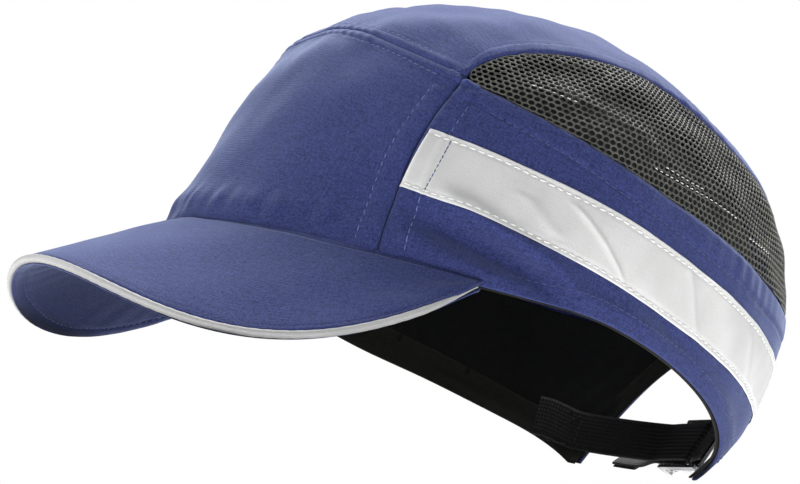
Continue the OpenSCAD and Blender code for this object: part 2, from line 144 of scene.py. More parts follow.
def crown_normal(th, u):
    safe = np.minimum(u, 0.985)
    around = crown(th + 0.5, safe) - crown(th - 0.5, safe)
    up = crown(th, safe + 0.004) - crown(th, safe - 0.004)
    n = unit(np.cross(around, up))
    top = ease((u - 0.9) / 0.1)[..., None]
    return unit(n * (1 - top) + np.array([0, 0, 1.0]) * top)


def solve_u(th, above):
    """The u at which a point climbing the crown at th gets above something."""
    th = np.asarray(th, float)
    lo, hi = np.full(th.shape, -0.12), np.full(th.shape, 0.5)
    for _ in range(20):
        mid = (lo + hi) / 2
        below = above(crown(th, mid)) < 0
        lo, hi = np.where(below, mid, lo), np.where(below, hi, mid)
    return (lo + hi) / 2


def u_at(th, z):
    return solve_u(th, lambda p: p[..., 2] - z)


def u_on(th, plane):
    return solve_u(th, lambda p: p[..., 2] - plane[0] - plane[1] * np.abs(p[..., 0]) - plane[2] * p[..., 1])


# The seams that need solving are solved once and then read off
ANGLES = np.linspace(0, 180, 721)
HEM_TABLE = np.where(ANGLES < NAPE_START, 0, u_at(ANGLES, hem_z(ANGLES)))
MESH_TABLE = u_on(ANGLES, MESH_PLANE)
TAPE_TABLE = u_on(ANGLES, TAPE_PLANE)
TAPE_TOP_TABLE = u_on(ANGLES, (TAPE_PLANE[0] + TAPE_W, TAPE_PLANE[1], TAPE_PLANE[2] - 0.01))


def hem_u(th):
    return np.interp(np.abs(th), ANGLES, HEM_TABLE)


def mesh_bottom(th):
    return np.interp(np.abs(th), ANGLES, MESH_TABLE)


def tape_bottom(th):
    return np.interp(np.abs(th), ANGLES, TAPE_TABLE)


def tape_top(th):
    return np.interp(np.abs(th), ANGLES, TAPE_TOP_TABLE)


def side_seam(u):
    return SEAM_FOOT_TH + (CORNER_TH - SEAM_FOOT_TH) * (np.maximum(u, 0) / CORNER_U) ** 2


def top_seam(th):
    lift = np.maximum(np.cos(np.radians(90 * np.minimum(np.abs(th) / CORNER_TH, 1))), 0) ** 1.12
    return CORNER_U + (TOP_SEAM_U - CORNER_U) * lift


def mesh_top(th):
    a = np.abs(th)
    mid = (CORNER_TH + MESH_REAR_TH) / 2
    t = (a - mid) / (MESH_REAR_TH - mid)
    crest = 0.5 - 0.0008 * (a - 65)
    pointed = np.maximum(1 - np.abs(t) ** 3.5, 0) ** 0.68
    blunt = np.sqrt(np.maximum(1 - t ** 4, 0))
    return CORNER_U + (crest - CORNER_U) * np.where(t < 0, pointed, blunt)


def arch_z(th):
    t = np.clip((180 - np.abs(th)) / ARCH_HALF_TH, 0, 1)
    return TAB_Z + (ARCH_H - TAB_Z) * np.sqrt(1 - t ** 2)


# ---- Relief: how far the sewn cloth stands off the plain shape, in millimetres


def seam_relief(d, row=ROW, valley=0.85):
    """A valley at the seam, a padded allowance and a groove at the topstitching; d is the distance in mm."""
    near = np.abs(d)
    allowance = 0.45 * (1 - ease((near - row) / 2.2))
    return allowance - valley * bump(near, 0.8) - 0.5 * bump(near - row, 0.8)


def side_distance(th, u):
    return (np.abs(th) - side_seam(u)) * DEGREE_MM


def top_distance(th, u):
    return (u - top_seam(th)) * MID_U_MM


def mesh_distance(th, u):
    return (u - mesh_bottom(th)) * MID_U_MM


def mesh_top_distance(th, u):
    return (u - mesh_top(th)) * MID_U_MM


def folds(th, u):
    """Soft folds that run from the tape down to the corner of the peak, and the rolled hem."""
    a = np.abs(th) + np.where(th < 0, 2.5, 0)
    depth = np.where(th < 0, 0.8, 1.0)
    ridge_u = 0.094 - 0.0032 * (a - 59.5)
    valley_u = 0.060 - 0.00195 * (a - 56.5)
    ridge = 3.2 * bump((u - ridge_u) * LOW_U_MM, 4.0) * window(a, 53, 86, 9)
    valley = -5.2 * bump((u - valley_u) * LOW_U_MM, 4.8) * window(a, 48, 84, 10)
    hem_roll = 1.2 * bump((u - hem_u(th) - 0.017) * LOW_U_MM, 3.2) * window(a, 50, 150, 12)
    second = -0.7 * bump((u - 0.045 + 0.0012 * (a - 96)) * LOW_U_MM, 4.0) * window(a, 86, 122, 12)
    return depth * (ridge + valley + second) + hem_roll


def root_roll(th, u):
    """Above the peak the panels roll out a little and then tuck in behind the peak's seam."""
    near = 1 - ease((np.abs(th) - 58) / 10)
    climb = (u - base_shift(th)) * LOW_U_MM
    gather = 0.25 * np.sin(np.radians(th) * 43) + 0.2 * np.sin(np.radians(th) * 71 + 1)
    roll = (1.0 + gather) * bump(climb - 10, 5.5)
    tuck = -mix(1.2, 0.3, ease((-10 - th) / 24)) * (1 - ease(climb / 4.0))
    dents = -1.3 * bump((th + 9) * DEGREE_MM, 7) * bump(climb - 7, 5)
    dents = dents - 0.9 * bump((th - 33) * DEGREE_MM, 8) * bump(climb - 8, 5)
    return near * (roll + tuck + dents)


def base_shift(th):
    """The peak's top climbs the front panel by this much u at its middle."""
    return -0.002 * np.cos(np.radians(np.clip(th, -66, 66) * 90 / 66))


def tape_creases(th, u):
    """Sharp little creases that cross the reflective tape."""
    a = np.abs(th)
    total = np.zeros(np.broadcast(a, u).shape)
    for start_th, start_u, end_th, end_u, height, width in (
        (78.0, 0.132, 88.0, 0.062, 0.55, 1.3),
        (69.0, 0.132, 74.5, 0.090, 0.3, 2.6),
        (104.0, 0.130, 110.0, 0.055, 0.35, 2.0),
        (126.0, 0.125, 131.0, 0.062, 0.35, 2.2),
    ):
        shift = np.where(th < 0, 3.0, 0.0)
        along = (u - start_u) / (end_u - start_u)
        centre = mix(start_th, end_th, along) + shift
        fade = window(along, -0.25, 1.25, 0.35)
        total = total + height * bump((a - centre) * DEGREE_MM, width) * fade
    return total


def broad(th, u):
    """Slow unevenness of hand-sewn cloth."""
    r = np.radians(th)
    return (
        0.40 * np.sin(5.1 * r + 1.3) * np.sin(21 * u + 0.4)
        + 0.28 * np.sin(11.3 * r + 2.1 + 9 * u)
        + 0.20 * np.sin(7.7 * r - 31 * u)
        + 0.14 * np.sin(23.0 * r + 17 * u) * np.sin(39 * u)
    )


def puckers(d, s, phase, row=ROW):
    """Small gathers beside a line of stitches; d is across it and s along it, in millimetres."""
    wave = np.sin(2 * np.pi * s / 5.9 + phase) + 0.6 * np.sin(2 * np.pi * s / 9.7 + 2 * phase)
    patchy = 0.55 + 0.45 * np.sin(s / 11 + 3 * phase)
    return 0.16 * wave * patchy * bump(np.abs(d) - row * 0.5, row * 0.62)


def crown_fit(th, u):
    """Where the padded shell inside pushes the cloth out."""
    a = np.abs(th)
    brow = (0.5 * bump(u - 0.3, 0.15) - 0.9 * bump(u - 0.64, 0.06)) * (1 - ease((a - 40) / 40))
    tab = np.where(th > 0, 3.2, 0.6) * bump(a - 152, 17) * (1 - ease((u + 0.02) / 0.16))
    slope = -1.2 * bump(u - 0.64, 0.10) * ease((a - 60) / 40)
    rear = 1.3 * bump(u - 0.43, 0.07) * ease((a - 112) / 25)
    return brow + tab + slope + rear


def cover_relief(th, u):
    d_side, d_top = side_distance(th, u), top_distance(th, u)
    d_mesh, d_rim = mesh_distance(th, u), mesh_top_distance(th, u)
    a = np.abs(th)
    low = u < CORNER_U + 0.01
    over = a < CORNER_TH + 1
    behind = a > CORNER_TH - 1
    relief = np.where(low, seam_relief(d_side) + puckers(d_side, u * 200, 0.6), 0)
    brow = seam_relief(d_top, BROW_ROW, 0.4) + puckers(d_top, th * 1.3, 1.9, BROW_ROW)
    under_mesh = seam_relief(np.minimum(d_mesh, 0)) + puckers(d_mesh, th * 1.6, 3.1)
    over_mesh = seam_relief(np.maximum(d_rim, 0)) + puckers(d_rim, th * 1.4, 4.4)
    beside_mesh = np.where(d_mesh < 0.5, under_mesh, 0) + np.where(d_rim > -0.5, over_mesh, 0)
    relief = relief + np.where(over, brow, 0) + np.where(behind & (a < MESH_REAR_TH + 2), beside_mesh, 0)
    calm = (1 - 0.75 * ease((0.03 - u) / 0.03)) * (1 - ease((u - 0.72) / 0.22))
    lower = np.where(u < 0.2, folds(th, u) + root_roll(th, u), 0)
    return relief + lower + broad(th, u) * calm + crown_fit(th, u) + tape_creases(th, u)


def right_hem_shift(th, u):
    """On the right the cloth hangs a little lower by the ear and is drawn up at the tab."""
    rise = 1.5 * bump(th - 143, 14) - 1.0 * bump(th - 101, 12)
    return rise / LOW_U_MM * (1 - ease((u - hem_u(th)) / 0.12))


def cover(th, u, off):
    """A point of the cover, off millimetres outside its outer face."""
    th, u = np.broadcast_arrays(np.asarray(th, float), np.asarray(u, float))
    u = u + np.where(th < 0, right_hem_shift(-th, u), 0)
    return crown(th, u) + (cover_relief(th, u) + off)[..., None] * crown_normal(th, u)


def cover_normal(th, u):
    around = cover(th + 0.3, u, 0) - cover(th - 0.3, u, 0)
    up = cover(th, u + 0.003, 0) - cover(th, u - 0.003, 0)
    return unit(np.cross(around, up))


# ---- Building meshes


def add_mesh(name, verts, faces, uv=None, sharp=45):
    """verts in millimetres; uv is one pair per vertex, in millimetres over ten."""
    mesh = bpy.data.meshes.new(name)
    mesh.from_pydata((np.asarray(verts, float) * MM).tolist(), [], faces)
    if uv is not None:
        layer = mesh.uv_layers.new(name="UVMap")
        corner = np.empty(len(mesh.loops), np.int32)
        mesh.loops.foreach_get("vertex_index", corner)
        layer.data.foreach_set("uv", np.asarray(uv, np.float32)[corner].ravel())
    mesh.shade_smooth()
    mesh.set_sharp_from_angle(angle=np.radians(sharp))
    mesh.validate()
    obj = bpy.data.objects.new(name, mesh)
    bpy.context.scene.collection.objects.link(obj)
    return obj


def flip_x(points):
    return points * np.array([-1.0, 1.0, 1.0])


def running_sum(steps):
    return np.concatenate([[0], np.cumsum(steps)])


def walked(points):
    """Distance along a line of points."""
    return running_sum(np.linalg.norm(np.diff(points, axis=0), axis=-1))


def arc_uv(grid):
    """UVs from the distance along each way of a grid of points, averaged so that the weave runs straight."""
    along = np.linalg.norm(np.diff(grid, axis=0), axis=-1).mean(axis=1)
    up = np.linalg.norm(np.diff(grid, axis=1), axis=-1).mean(axis=0)
    return np.stack(np.meshgrid(running_sum(along), running_sum(up), indexing="ij"), -1) / 10


# How far the edge of a sheet bulges, as a share of its thickness
EDGE_ROUND = 0.35


def grid_sheet(name, outer, inner, mirrored=False):
    """A closed skin between two grids of points, with a rounded edge all the way round."""
    ns, nt = outer.shape[:2]
    uv = arc_uv(outer).reshape(-1, 2)
    outer, inner = outer.reshape(-1, 3), inner.reshape(-1, 3)
    middle = (outer + inner) / 2
    thick = np.linalg.norm(outer - inner, axis=-1, keepdims=True)
    rim = (
        [(i, 0) for i in range(ns)]
        + [(ns - 1, j) for j in range(1, nt)]
        + [(i, nt - 1) for i in range(ns - 2, -1, -1)]
        + [(0, j) for j in range(nt - 2, 0, -1)]
    )
    count = ns * nt
    index = np.arange(count).reshape(ns, nt)
    ring = np.array([index[i, j] for i, j in rim])
    within = np.array([index[min(max(i, 1), ns - 2), min(max(j, 1), nt - 2)] for i, j in rim])
    edge = middle[ring] + unit(middle[ring] - middle[within]) * thick[ring] * EDGE_ROUND
    a, b = index[:-1, :-1].ravel(), index[1:, :-1].ravel()
    c, d = index[1:, 1:].ravel(), index[:-1, 1:].ravel()
    top = np.stack([a, b, c, d], -1)
    bottom = np.stack([a, d, c, b], -1) + count
    after = np.roll(ring, -1)
    mid = 2 * count + np.arange(len(ring))
    mid_after = np.roll(mid, -1)
    wall_top = np.stack([ring, mid, mid_after, after], -1)
    wall_low = np.stack([mid, ring + count, after + count, mid_after], -1)
    faces = np.concatenate([top, bottom, wall_top, wall_low])
    verts = np.concatenate([outer, inner, edge])
    uvs = np.concatenate([uv, uv, uv[ring]])
    if mirrored:
        verts = flip_x(verts)
        faces = faces[:, ::-1]
    return add_mesh(name, verts, faces.tolist(), uvs, sharp=60)


def st_grid(ns, nt):
    return np.meshgrid(np.linspace(0, 1, ns), np.linspace(0, 1, nt), indexing="ij")


def cover_sheet(name, where, ns, nt, outer=0.0, inner=-FABRIC_T, mirrored=False, extra=None):
    """where maps s and t to th and u; extra adds its own relief."""
    s, t = st_grid(ns, nt)
    th, u = where(s, t)
    side = -1 if mirrored else 1
    if mirrored:
        u = u + right_hem_shift(th, u)
    relief = cover_relief(side * th, u) + (extra(th, u) if extra else 0)
    base, n = crown(th, u), crown_normal(th, u)
    return grid_sheet(
        name,
        base + (relief + outer)[..., None] * n,
        base + (relief + inner)[..., None] * n,
        mirrored,
    )


def finish_piece(obj, material, nodes=(), body="cover"):
    obj.data.materials.clear()
    obj.data.materials.append(material)
    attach(obj, body)
    if nodes:
        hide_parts(*nodes)
    return obj


# ---- Materials


class Shader:
    """A short way to write a material's nodes."""

    def __init__(self, name):
        self.material = bpy.data.materials.new(name)
        self.material.use_nodes = True
        self.tree = self.material.node_tree
        self.tree.nodes.clear()
        self.out = self.tree.nodes.new("ShaderNodeOutputMaterial")
        self.bsdf = self.tree.nodes.new("ShaderNodeBsdfPrincipled")
        self.link(self.bsdf.outputs[0], self.out.inputs["Surface"])

    def link(self, source, target):
        self.tree.links.new(source, target)

    def put(self, socket, value):
        if isinstance(value, bpy.types.NodeSocket):
            self.link(value, socket)
        else:
            socket.default_value = value

    def node(self, kind, settings=None, **inputs):
        made = self.tree.nodes.new(kind)
        for key, value in (settings or {}).items():
            setattr(made, key, value)
        for key, value in inputs.items():
            self.put(made.inputs[key.replace("_", " ")], value)
        return made

    def math(self, operation, *values, clamp=False):
        made = self.node("ShaderNodeMath", {"operation": operation, "use_clamp": clamp})
        for socket, value in zip(made.inputs, values):
            self.put(socket, value)
        return made.outputs[0]

    def scaled(self, value, factor, added=0.0):
        """value * factor + added."""
        return self.math("MULTIPLY_ADD", value, factor, added)

    def stretched(self, x, y):
        """The piece's own UVs with each axis scaled by its own amount."""
        return self.node("ShaderNodeMapping", Vector=self.uv(), Scale=(x, y, 1.0)).outputs[0]

    def total(self, *parts):
        """The sum of (value, factor) pairs, at most 1."""
        amount = 0.0
        for value, factor in parts:
            amount = self.math("ADD", self.math("MULTIPLY", value, factor), amount, clamp=True)
        return amount

    def mottle(self, vector, scale, detail=2.0, rough=0.5):
        """Noise stretched over the whole of 0 to 1."""
        return self.ramp(self.noise(vector, scale, detail, rough), 0.3, 0.7)

    def cells(self, scale):
        made = self.node("ShaderNodeTexVoronoi", Vector=self.place(), Scale=scale)
        return made.outputs["Distance"]

    def worn(self, low, high):
        """1 along outer edges, 0 on flat cloth."""
        return self.ramp(self.node("ShaderNodeNewGeometry").outputs["Pointiness"], low, high)

    def axes(self, vector):
        return self.node("ShaderNodeSeparateXYZ", Vector=vector).outputs[:]

    def uv(self):
        return self.node("ShaderNodeTexCoord").outputs["UV"]

    def place(self):
        return self.node("ShaderNodeTexCoord").outputs["Object"]

    def noise(self, vector, scale, detail=2.0, rough=0.5):
        made = self.node("ShaderNodeTexNoise", Vector=vector, Scale=scale, Detail=detail, Roughness=rough)
        return made.outputs["Fac"]

    def ramp(self, value, low, high):
        """value stretched so that low becomes 0 and high becomes 1."""
        return self.node("ShaderNodeMapRange", Value=value, From_Min=low, From_Max=high).outputs[0]

    def blend(self, factor, a, b):
        """Colour a where factor is 0, and b where it is 1."""
        made = self.node("ShaderNodeMix", {"data_type": "RGBA"})
        self.put(made.inputs[0], factor)
        for socket, value in ((made.inputs[6], a), (made.inputs[7], b)):
            if isinstance(value, tuple):
                value = (*value, 1.0)
            self.put(socket, value)
        return made.outputs[2]

    def waves(self, value, period, phase=0.0):
        """A sine of value with this period, from 0 to 1."""
        turn = self.scaled(value, 2 * np.pi / period, phase)
        return self.scaled(self.math("SINE", turn), 0.5, 0.5)

    def height(self, value, distance, strength=1.0, normal=None):
        made = self.node("ShaderNodeBump", Height=value, Distance=distance, Strength=strength)
        if normal is not None:
            self.link(normal, made.inputs["Normal"])
        return made.outputs[0]

    def set(self, **inputs):
        for key, value in inputs.items():
            if isinstance(value, tuple):
                value = (*value, 1.0)
            self.put(self.bsdf.inputs[key.replace("_", " ")], value)
        return self.material


def weave(shader, warp_mm, weft_mm):
    """Plain weave from the piece's own UVs: height of the threads, from 0 to 1."""
    wobble = shader.noise(shader.uv(), 2.3, 3)
    x, y, _ = shader.axes(shader.uv())
    drift = shader.math("MULTIPLY", wobble, 0.035)
    x = shader.math("ADD", x, drift)
    y = shader.math("ADD", y, drift)
    warp = shader.waves(x, warp_mm / 10)
    weft = shader.waves(y, weft_mm / 10)
    cross = shader.waves(shader.math("ADD", x, y), warp_mm / 5)
    return shader.total((weft, 0.62), (warp, 0.26), (cross, 0.12))


# Painted shade: creases and gaps narrower than this, in metres, are painted darker, as shade falls in them
PAINTED_SHADE_REACH = 0.005


def cloth_material(name, dark, light, warp_mm, weft_mm, fuzz, sheen, rough=0.9, tint=(1.0, 1.0, 1.0)):
    shader = Shader(name)
    threads = weave(shader, warp_mm, weft_mm)
    speckle = shader.noise(shader.place(), 1500, 3, 0.7)
    warp_slubs = shader.noise(shader.stretched(2.4, 17.0), 1.0, 2, 0.6)
    weft_slubs = shader.noise(shader.stretched(15.0, 2.8), 1.0, 2, 0.6)
    amount = shader.total(
        (threads, 0.12),
        (shader.ramp(warp_slubs, 0.3, 0.7), 0.26),
        (shader.ramp(weft_slubs, 0.3, 0.7), 0.20),
        (shader.ramp(speckle, 0.36, 0.68), fuzz),
        (shader.mottle(shader.uv(), 7.0, 4, 0.6), 0.09),
        (shader.mottle(shader.place(), 28, 3), 0.08),
        (shader.worn(0.52, 0.6), 0.35),
    )
    color = shader.blend(amount, dark, light)
    # Painted shade: an ambient occlusion node blends the colour towards the dark thread tone in creases,
    # seams and gaps between parts
    painted_crease_shade = shader.node("ShaderNodeAmbientOcclusion", {"samples": 4}, Distance=PAINTED_SHADE_REACH).outputs["AO"]
    color = shader.blend(shader.ramp(painted_crease_shade, 0.25, 0.8), dark, color)
    fine = shader.height(speckle, 0.0002, 0.35)
    ribs = shader.height(threads, 0.00006, 0.6, fine)
    normal = shader.height(warp_slubs, 0.0002, 0.5, ribs)
    return shader.set(
        Base_Color=color,
        Roughness=rough,
        Normal=normal,
        Sheen_Weight=sheen,
        Sheen_Roughness=0.45,
        Sheen_Tint=tint,
        Specular_IOR_Level=0.18,
    )


def thread_material(name, low, high):
    shader = Shader(name)
    x, y, _ = shader.axes(shader.uv())
    twist = shader.waves(shader.math("ADD", x, y), 0.06)
    color = shader.blend(twist, low, high)
    return shader.set(Base_Color=color, Roughness=0.6, Normal=shader.height(twist, 0.0001, 0.6))


def reflective_material(name, low, high):
    """Glass-beaded silver cloth, a little paler where it is rubbed."""
    shader = Shader(name)
    beads = shader.cells(2600.0)
    grain = shader.noise(shader.place(), 1800, 2, 0.6)
    cloudy = shader.mottle(shader.place(), 60, 4, 0.6)
    amount = shader.total((cloudy, 0.6), (shader.ramp(grain, 0.3, 0.7), 0.4))
    color = shader.blend(amount, low, high)
    color = shader.blend(shader.total((shader.worn(0.5, 0.56), 0.5)), color, (0.93, 0.93, 0.92))
    return shader.set(
        Base_Color=color,
        Metallic=0.12,
        Roughness=shader.scaled(grain, 0.2, 0.42),
        Normal=shader.height(beads, 0.00008, 0.5),
        Specular_IOR_Level=0.5,
    )


def knit_material():
    shader = Shader("mesh_knit")
    strand = shader.noise(shader.place(), 2200, 3, 0.65)
    streak = shader.noise(shader.place(), 260, 3, 0.6)
    amount = shader.total((shader.ramp(strand, 0.3, 0.72), 0.55), (shader.ramp(streak, 0.35, 0.7), 0.55))
    color = shader.blend(amount, (0.014, 0.014, 0.012), (0.125, 0.122, 0.103))
    glint = shader.ramp(shader.noise(shader.stretched(1.1, 6.5), 1.0, 1, 0.4), 0.72, 0.80)
    color = shader.blend(shader.total((glint, 0.6)), color, (0.50, 0.48, 0.43))
    return shader.set(
        Base_Color=color,
        Roughness=0.55,
        Normal=shader.height(strand, 0.00025, 0.8),
        Sheen_Weight=0.08,
        Specular_IOR_Level=0.4,
    )


def webbing_material():
    shader = Shader("black_webbing")
    x, y, _ = shader.axes(shader.uv())
    height = shader.total((shader.waves(x, 0.11), 0.6), (shader.waves(y, 0.16), 0.4))
    fuzz = shader.noise(shader.place(), 1500, 2)
    amount = shader.math("MULTIPLY", height, shader.ramp(fuzz, 0.2, 0.8), clamp=True)
    color = shader.blend(amount, (0.003, 0.003, 0.0035), (0.013, 0.013, 0.0145))
    return shader.set(
        Base_Color=color, Roughness=0.62, Normal=shader.height(height, 0.0003, 0.9), Specular_IOR_Level=0.35
    )


def shell_material():
    shader = Shader("moulded_shell")
    pits = shader.noise(shader.place(), 1400, 3, 0.6)
    drift = shader.noise(shader.place(), 22, 2)
    color = shader.blend(drift, (0.006, 0.006, 0.007), (0.014, 0.014, 0.016))
    rough = shader.ramp(pits, -0.6, 1.6)
    return shader.set(Base_Color=color, Roughness=rough, Normal=shader.height(pits, 0.0003, 0.5))


def foam_material():
    shader = Shader("pad_cloth")
    knit = shader.noise(shader.place(), 900, 2, 0.5)
    cells = shader.cells(700.0)
    color = shader.blend(shader.ramp(cells, 0.1, 0.7), (0.008, 0.008, 0.009), (0.034, 0.034, 0.037))
    normal = shader.height(cells, 0.0004, 0.6, shader.height(knit, 0.0002, 0.5))
    return shader.set(Base_Color=color, Roughness=0.95, Normal=normal, Sheen_Weight=0.15)


def metal_material():
    shader = Shader("plated_steel")
    scratch_space = shader.node("ShaderNodeMapping", Vector=shader.place(), Scale=(400, 400, 4000)).outputs[0]
    brushed = shader.noise(scratch_space, 1.0, 3, 0.6)
    smudge = shader.noise(shader.place(), 220, 2)
    rough = shader.total((brushed, 0.14), (smudge, 0.14))
    color = shader.blend(smudge, (0.70, 0.70, 0.71), (0.84, 0.84, 0.85))
    normal = shader.height(brushed, 0.00004, 0.4)
    return shader.set(Base_Color=color, Metallic=1.0, Roughness=rough, Normal=normal)


def board_material():
    shader = Shader("peak_board_plastic")
    grain = shader.noise(shader.place(), 500, 3)
    color = shader.blend(grain, (0.02, 0.02, 0.022), (0.05, 0.05, 0.052))
    return shader.set(Base_Color=color, Roughness=0.6, Normal=shader.height(grain, 0.0001, 0.4))


BLUE = cloth_material(
    "blue_cloth", (0.002, 0.004, 0.028), (0.050, 0.066, 0.220), 0.5, 0.66, 0.56, 0.34, 0.86, (0.66, 0.76, 1.0)
)
LINING = cloth_material("black_lining", (0.002, 0.002, 0.003), (0.011, 0.012, 0.013), 0.5, 0.5, 0.3, 0.15)
BINDING = cloth_material("dark_binding", (0.006, 0.006, 0.006), (0.026, 0.025, 0.021), 0.45, 0.9, 0.3, 0.15)
TERRY = cloth_material("sweatband_cloth", (0.005, 0.005, 0.006), (0.026, 0.026, 0.029), 1.1, 1.1, 0.6, 0.15)
BLUE_THREAD = thread_material("blue_thread", (0.070, 0.095, 0.250), (0.190, 0.230, 0.450))
WHITE_THREAD = thread_material("white_thread", (0.72, 0.72, 0.70), (0.95, 0.95, 0.93))
DARK_THREAD = thread_material("dark_thread", (0.030, 0.040, 0.120), (0.085, 0.105, 0.250))
BLACK_THREAD = thread_material("black_thread", (0.008, 0.008, 0.008), (0.03, 0.03, 0.03))
TAPE = reflective_material("reflective_tape", (0.55, 0.55, 0.540), (0.64, 0.64, 0.630))
PIPING = reflective_material("reflective_piping", (0.36, 0.36, 0.355), (0.50, 0.50, 0.49))
KNIT = knit_material()
WEBBING = webbing_material()
SHELL = shell_material()
FOAM = foam_material()
METAL = metal_material()
BOARD = board_material()

# ---- Cover panels

GAP_TH = 0.12
GAP_U = 0.001


def front_where(s, t):
    side = 2 * s - 1
    u = t * (top_seam(CORNER_TH * side) - GAP_U)
    return side * (side_seam(CORNER_U * t) - GAP_TH), u


def strip_foot_u():
    return float(u_at(np.array([STRIP_FOOT_TH]), arch_z(np.array([STRIP_FOOT_TH])))[0])


STRIP_FOOT_U = strip_foot_u()
STRIP_TURN = 0.4


def strip_edge(t):
    """Edge of the strip down the back, from the end of the mesh to the arch."""
    t = np.asarray(t, float)
    turn_u = mesh_bottom(STRIP_TURN_TH)
    q1 = np.clip(t / STRIP_TURN, 0, 1)
    q2 = np.clip((t - STRIP_TURN) / (1 - STRIP_TURN), 0, 1)
    th = np.where(t < STRIP_TURN, mix(MESH_REAR_TH, STRIP_TURN_TH, q1), mix(STRIP_TURN_TH, STRIP_FOOT_TH, q2))
    u = np.where(t < STRIP_TURN, mix(CORNER_U, turn_u, q1), mix(turn_u, STRIP_FOOT_U, q2))
    return th, u


STRIP_WALK = 132.0
ARCH_WALK = 160.0


def crown_rim(a):
    """The crown panel's edge, walked round: front seam, mesh, down the strip, then over the arch."""
    w = np.abs(a)
    th_front = MESH_REAR_TH * np.minimum(w / STRIP_WALK, 1)
    u_front = np.where(th_front < CORNER_TH, top_seam(th_front), mesh_top(th_front)) + GAP_U
    th_strip, u_strip = strip_edge((w - STRIP_WALK) / (ARCH_WALK - STRIP_WALK))
    th_arch = mix(STRIP_FOOT_TH, 180, np.clip((w - ARCH_WALK) / (180 - ARCH_WALK), 0, 1))
    u_arch = u_at(th_arch, arch_z(th_arch))
    th = np.where(w < STRIP_WALK, th_front, np.where(w < ARCH_WALK, th_strip + GAP_TH, th_arch))
    u = np.where(w < STRIP_WALK, u_front, np.where(w < ARCH_WALK, u_strip, u_arch))
    return np.where(a < 0, -th, th), u


def dome(name, rim, na, nu, thick, relief, skip=None):
    """A closed cap over the top of the crown; skip(column, row) leaves openings in it."""
    walk = -180 + 360 * np.arange(na) / na
    th, u0 = rim(walk)
    level = np.linspace(0, 1, nu + 1)
    u = u0[None, :] + (0.985 - u0[None, :]) * level[:, None]
    th = np.broadcast_to(th, u.shape)
    n = crown_normal(th, u)
    base = crown(th, u)
    lift = relief(th, u)[..., None]
    outer, inner = base + lift * n, base + (lift - thick) * n
    step = np.linalg.norm(np.diff(outer, axis=0), axis=-1)
    rho = np.concatenate([np.cumsum(step[::-1], axis=0)[::-1], np.zeros((1, na))])
    uv = np.stack([rho * np.sin(np.radians(th)), -rho * np.cos(np.radians(th))], -1) / 10
    tip_out = outer[-1].mean(axis=0)
    tip_in = inner[-1].mean(axis=0)
    edge_dir = unit(outer[0] - outer[1])
    edge = (outer[0] + inner[0]) / 2 + edge_dir * thick * EDGE_ROUND
    rows, count = nu + 1, (nu + 1) * na
    index = np.arange(count).reshape(rows, na)
    faces = []
    holes = [[bool(skip and skip(i, j)) for i in range(na)] for j in range(nu)]
    for j in range(nu):
        for i in range(na):
            m = (i + 1) % na
            a, b, c, d = index[j, i], index[j, m], index[j + 1, m], index[j + 1, i]
            if not holes[j][i]:
                faces.append((a, b, c, d))
                faces.append((a + count, d + count, c + count, b + count))
                continue
            for p, q, dj, di in ((a, d, 0, -1), (d, c, 1, 0), (c, b, 0, 1), (b, a, -1, 0)):
                nj, ni = j + dj, (i + di) % na
                if not (0 <= nj < nu and holes[nj][ni]):
                    faces.append((q, p, p + count, q + count))
    tip = 2 * count
    for i in range(na):
        m = (i + 1) % na
        faces.append((index[nu, i], index[nu, m], tip))
        faces.append((index[nu, m] + count, index[nu, i] + count, tip + 1))
        first, second = tip + 2 + i, tip + 2 + m
        faces.append((index[0, m], index[0, i], first, second))
        faces.append((second, first, index[0, i] + count, index[0, m] + count))
    verts = np.concatenate([outer.reshape(-1, 3), inner.reshape(-1, 3), [tip_out], [tip_in], edge])
    flat = uv.reshape(-1, 2)
    uvs = np.concatenate([flat, flat, [[0, 0]], [[0, 0]], uv[0]])
    faces = [tuple(int(v) for v in f) for f in faces]
    return add_mesh(name, verts, faces, uvs, sharp=60)


HEM_SHARE = 0.82
TAB_SHARE = 0.85


def side_low(s):
    """Lower edge of the side panel: the hem, the tab's end, then the side of the arch."""
    th_hem = mix(SEAM_FOOT_TH, TAB_FRONT_TH, np.clip(s / HEM_SHARE, 0, 1))
    th_tab = mix(TAB_FRONT_TH, TAB_REAR_TH, np.clip((s - HEM_SHARE) / (TAB_SHARE - HEM_SHARE), 0, 1))
    full = np.arccos((180 - STRIP_FOOT_TH) / ARCH_HALF_TH)
    climb = np.clip((s - TAB_SHARE) / (1 - TAB_SHARE), 0, 1) * full
    th_arch = 180 - ARCH_HALF_TH * np.cos(climb)
    th = np.where(s < HEM_SHARE, th_hem, np.where(s < TAB_SHARE, th_tab, th_arch))
    u_rear = np.where(s < TAB_SHARE, u_at(th_tab, TAB_Z), u_at(th_arch, arch_z(th_arch)))
    return th, np.where(s < HEM_SHARE, hem_u(th_hem), u_rear)


REAR_TURN = 0.88
SEAM_PULL = 12


def side_high(s):
    """Upper edge: under the mesh, then down the strip at the back."""
    th_mesh = mix(CORNER_TH, STRIP_TURN_TH - GAP_TH, np.clip(s / REAR_TURN, 0, 1))
    th_strip, u_strip = strip_edge(mix(STRIP_TURN, 1, np.clip((s - REAR_TURN) / (1 - REAR_TURN), 0, 1)))
    th = np.where(s < REAR_TURN, th_mesh, th_strip - GAP_TH)
    u = np.where(s < REAR_TURN, mesh_bottom(th_mesh), u_strip) - GAP_U
    return th, u


def side_where(s, t):
    """The side panel's grid: its front edge is pulled to the side seam, less and less towards the back."""
    low_th, low_u = side_low(s)
    high_th, high_u = side_high(s)
    first_th = mix(low_th[:1], high_th[:1], t[:1])
    first_u = mix(low_u[:1], high_u[:1], t[:1])
    pull = side_seam(first_u) + GAP_TH - first_th
    return mix(low_th, high_th, t) + pull * (1 - s) ** SEAM_PULL, mix(low_u, high_u, t)


front = cover_sheet("front_panel_cloth", front_where, 190, 110)
finish_piece(front, BLUE, ["front_panel"])

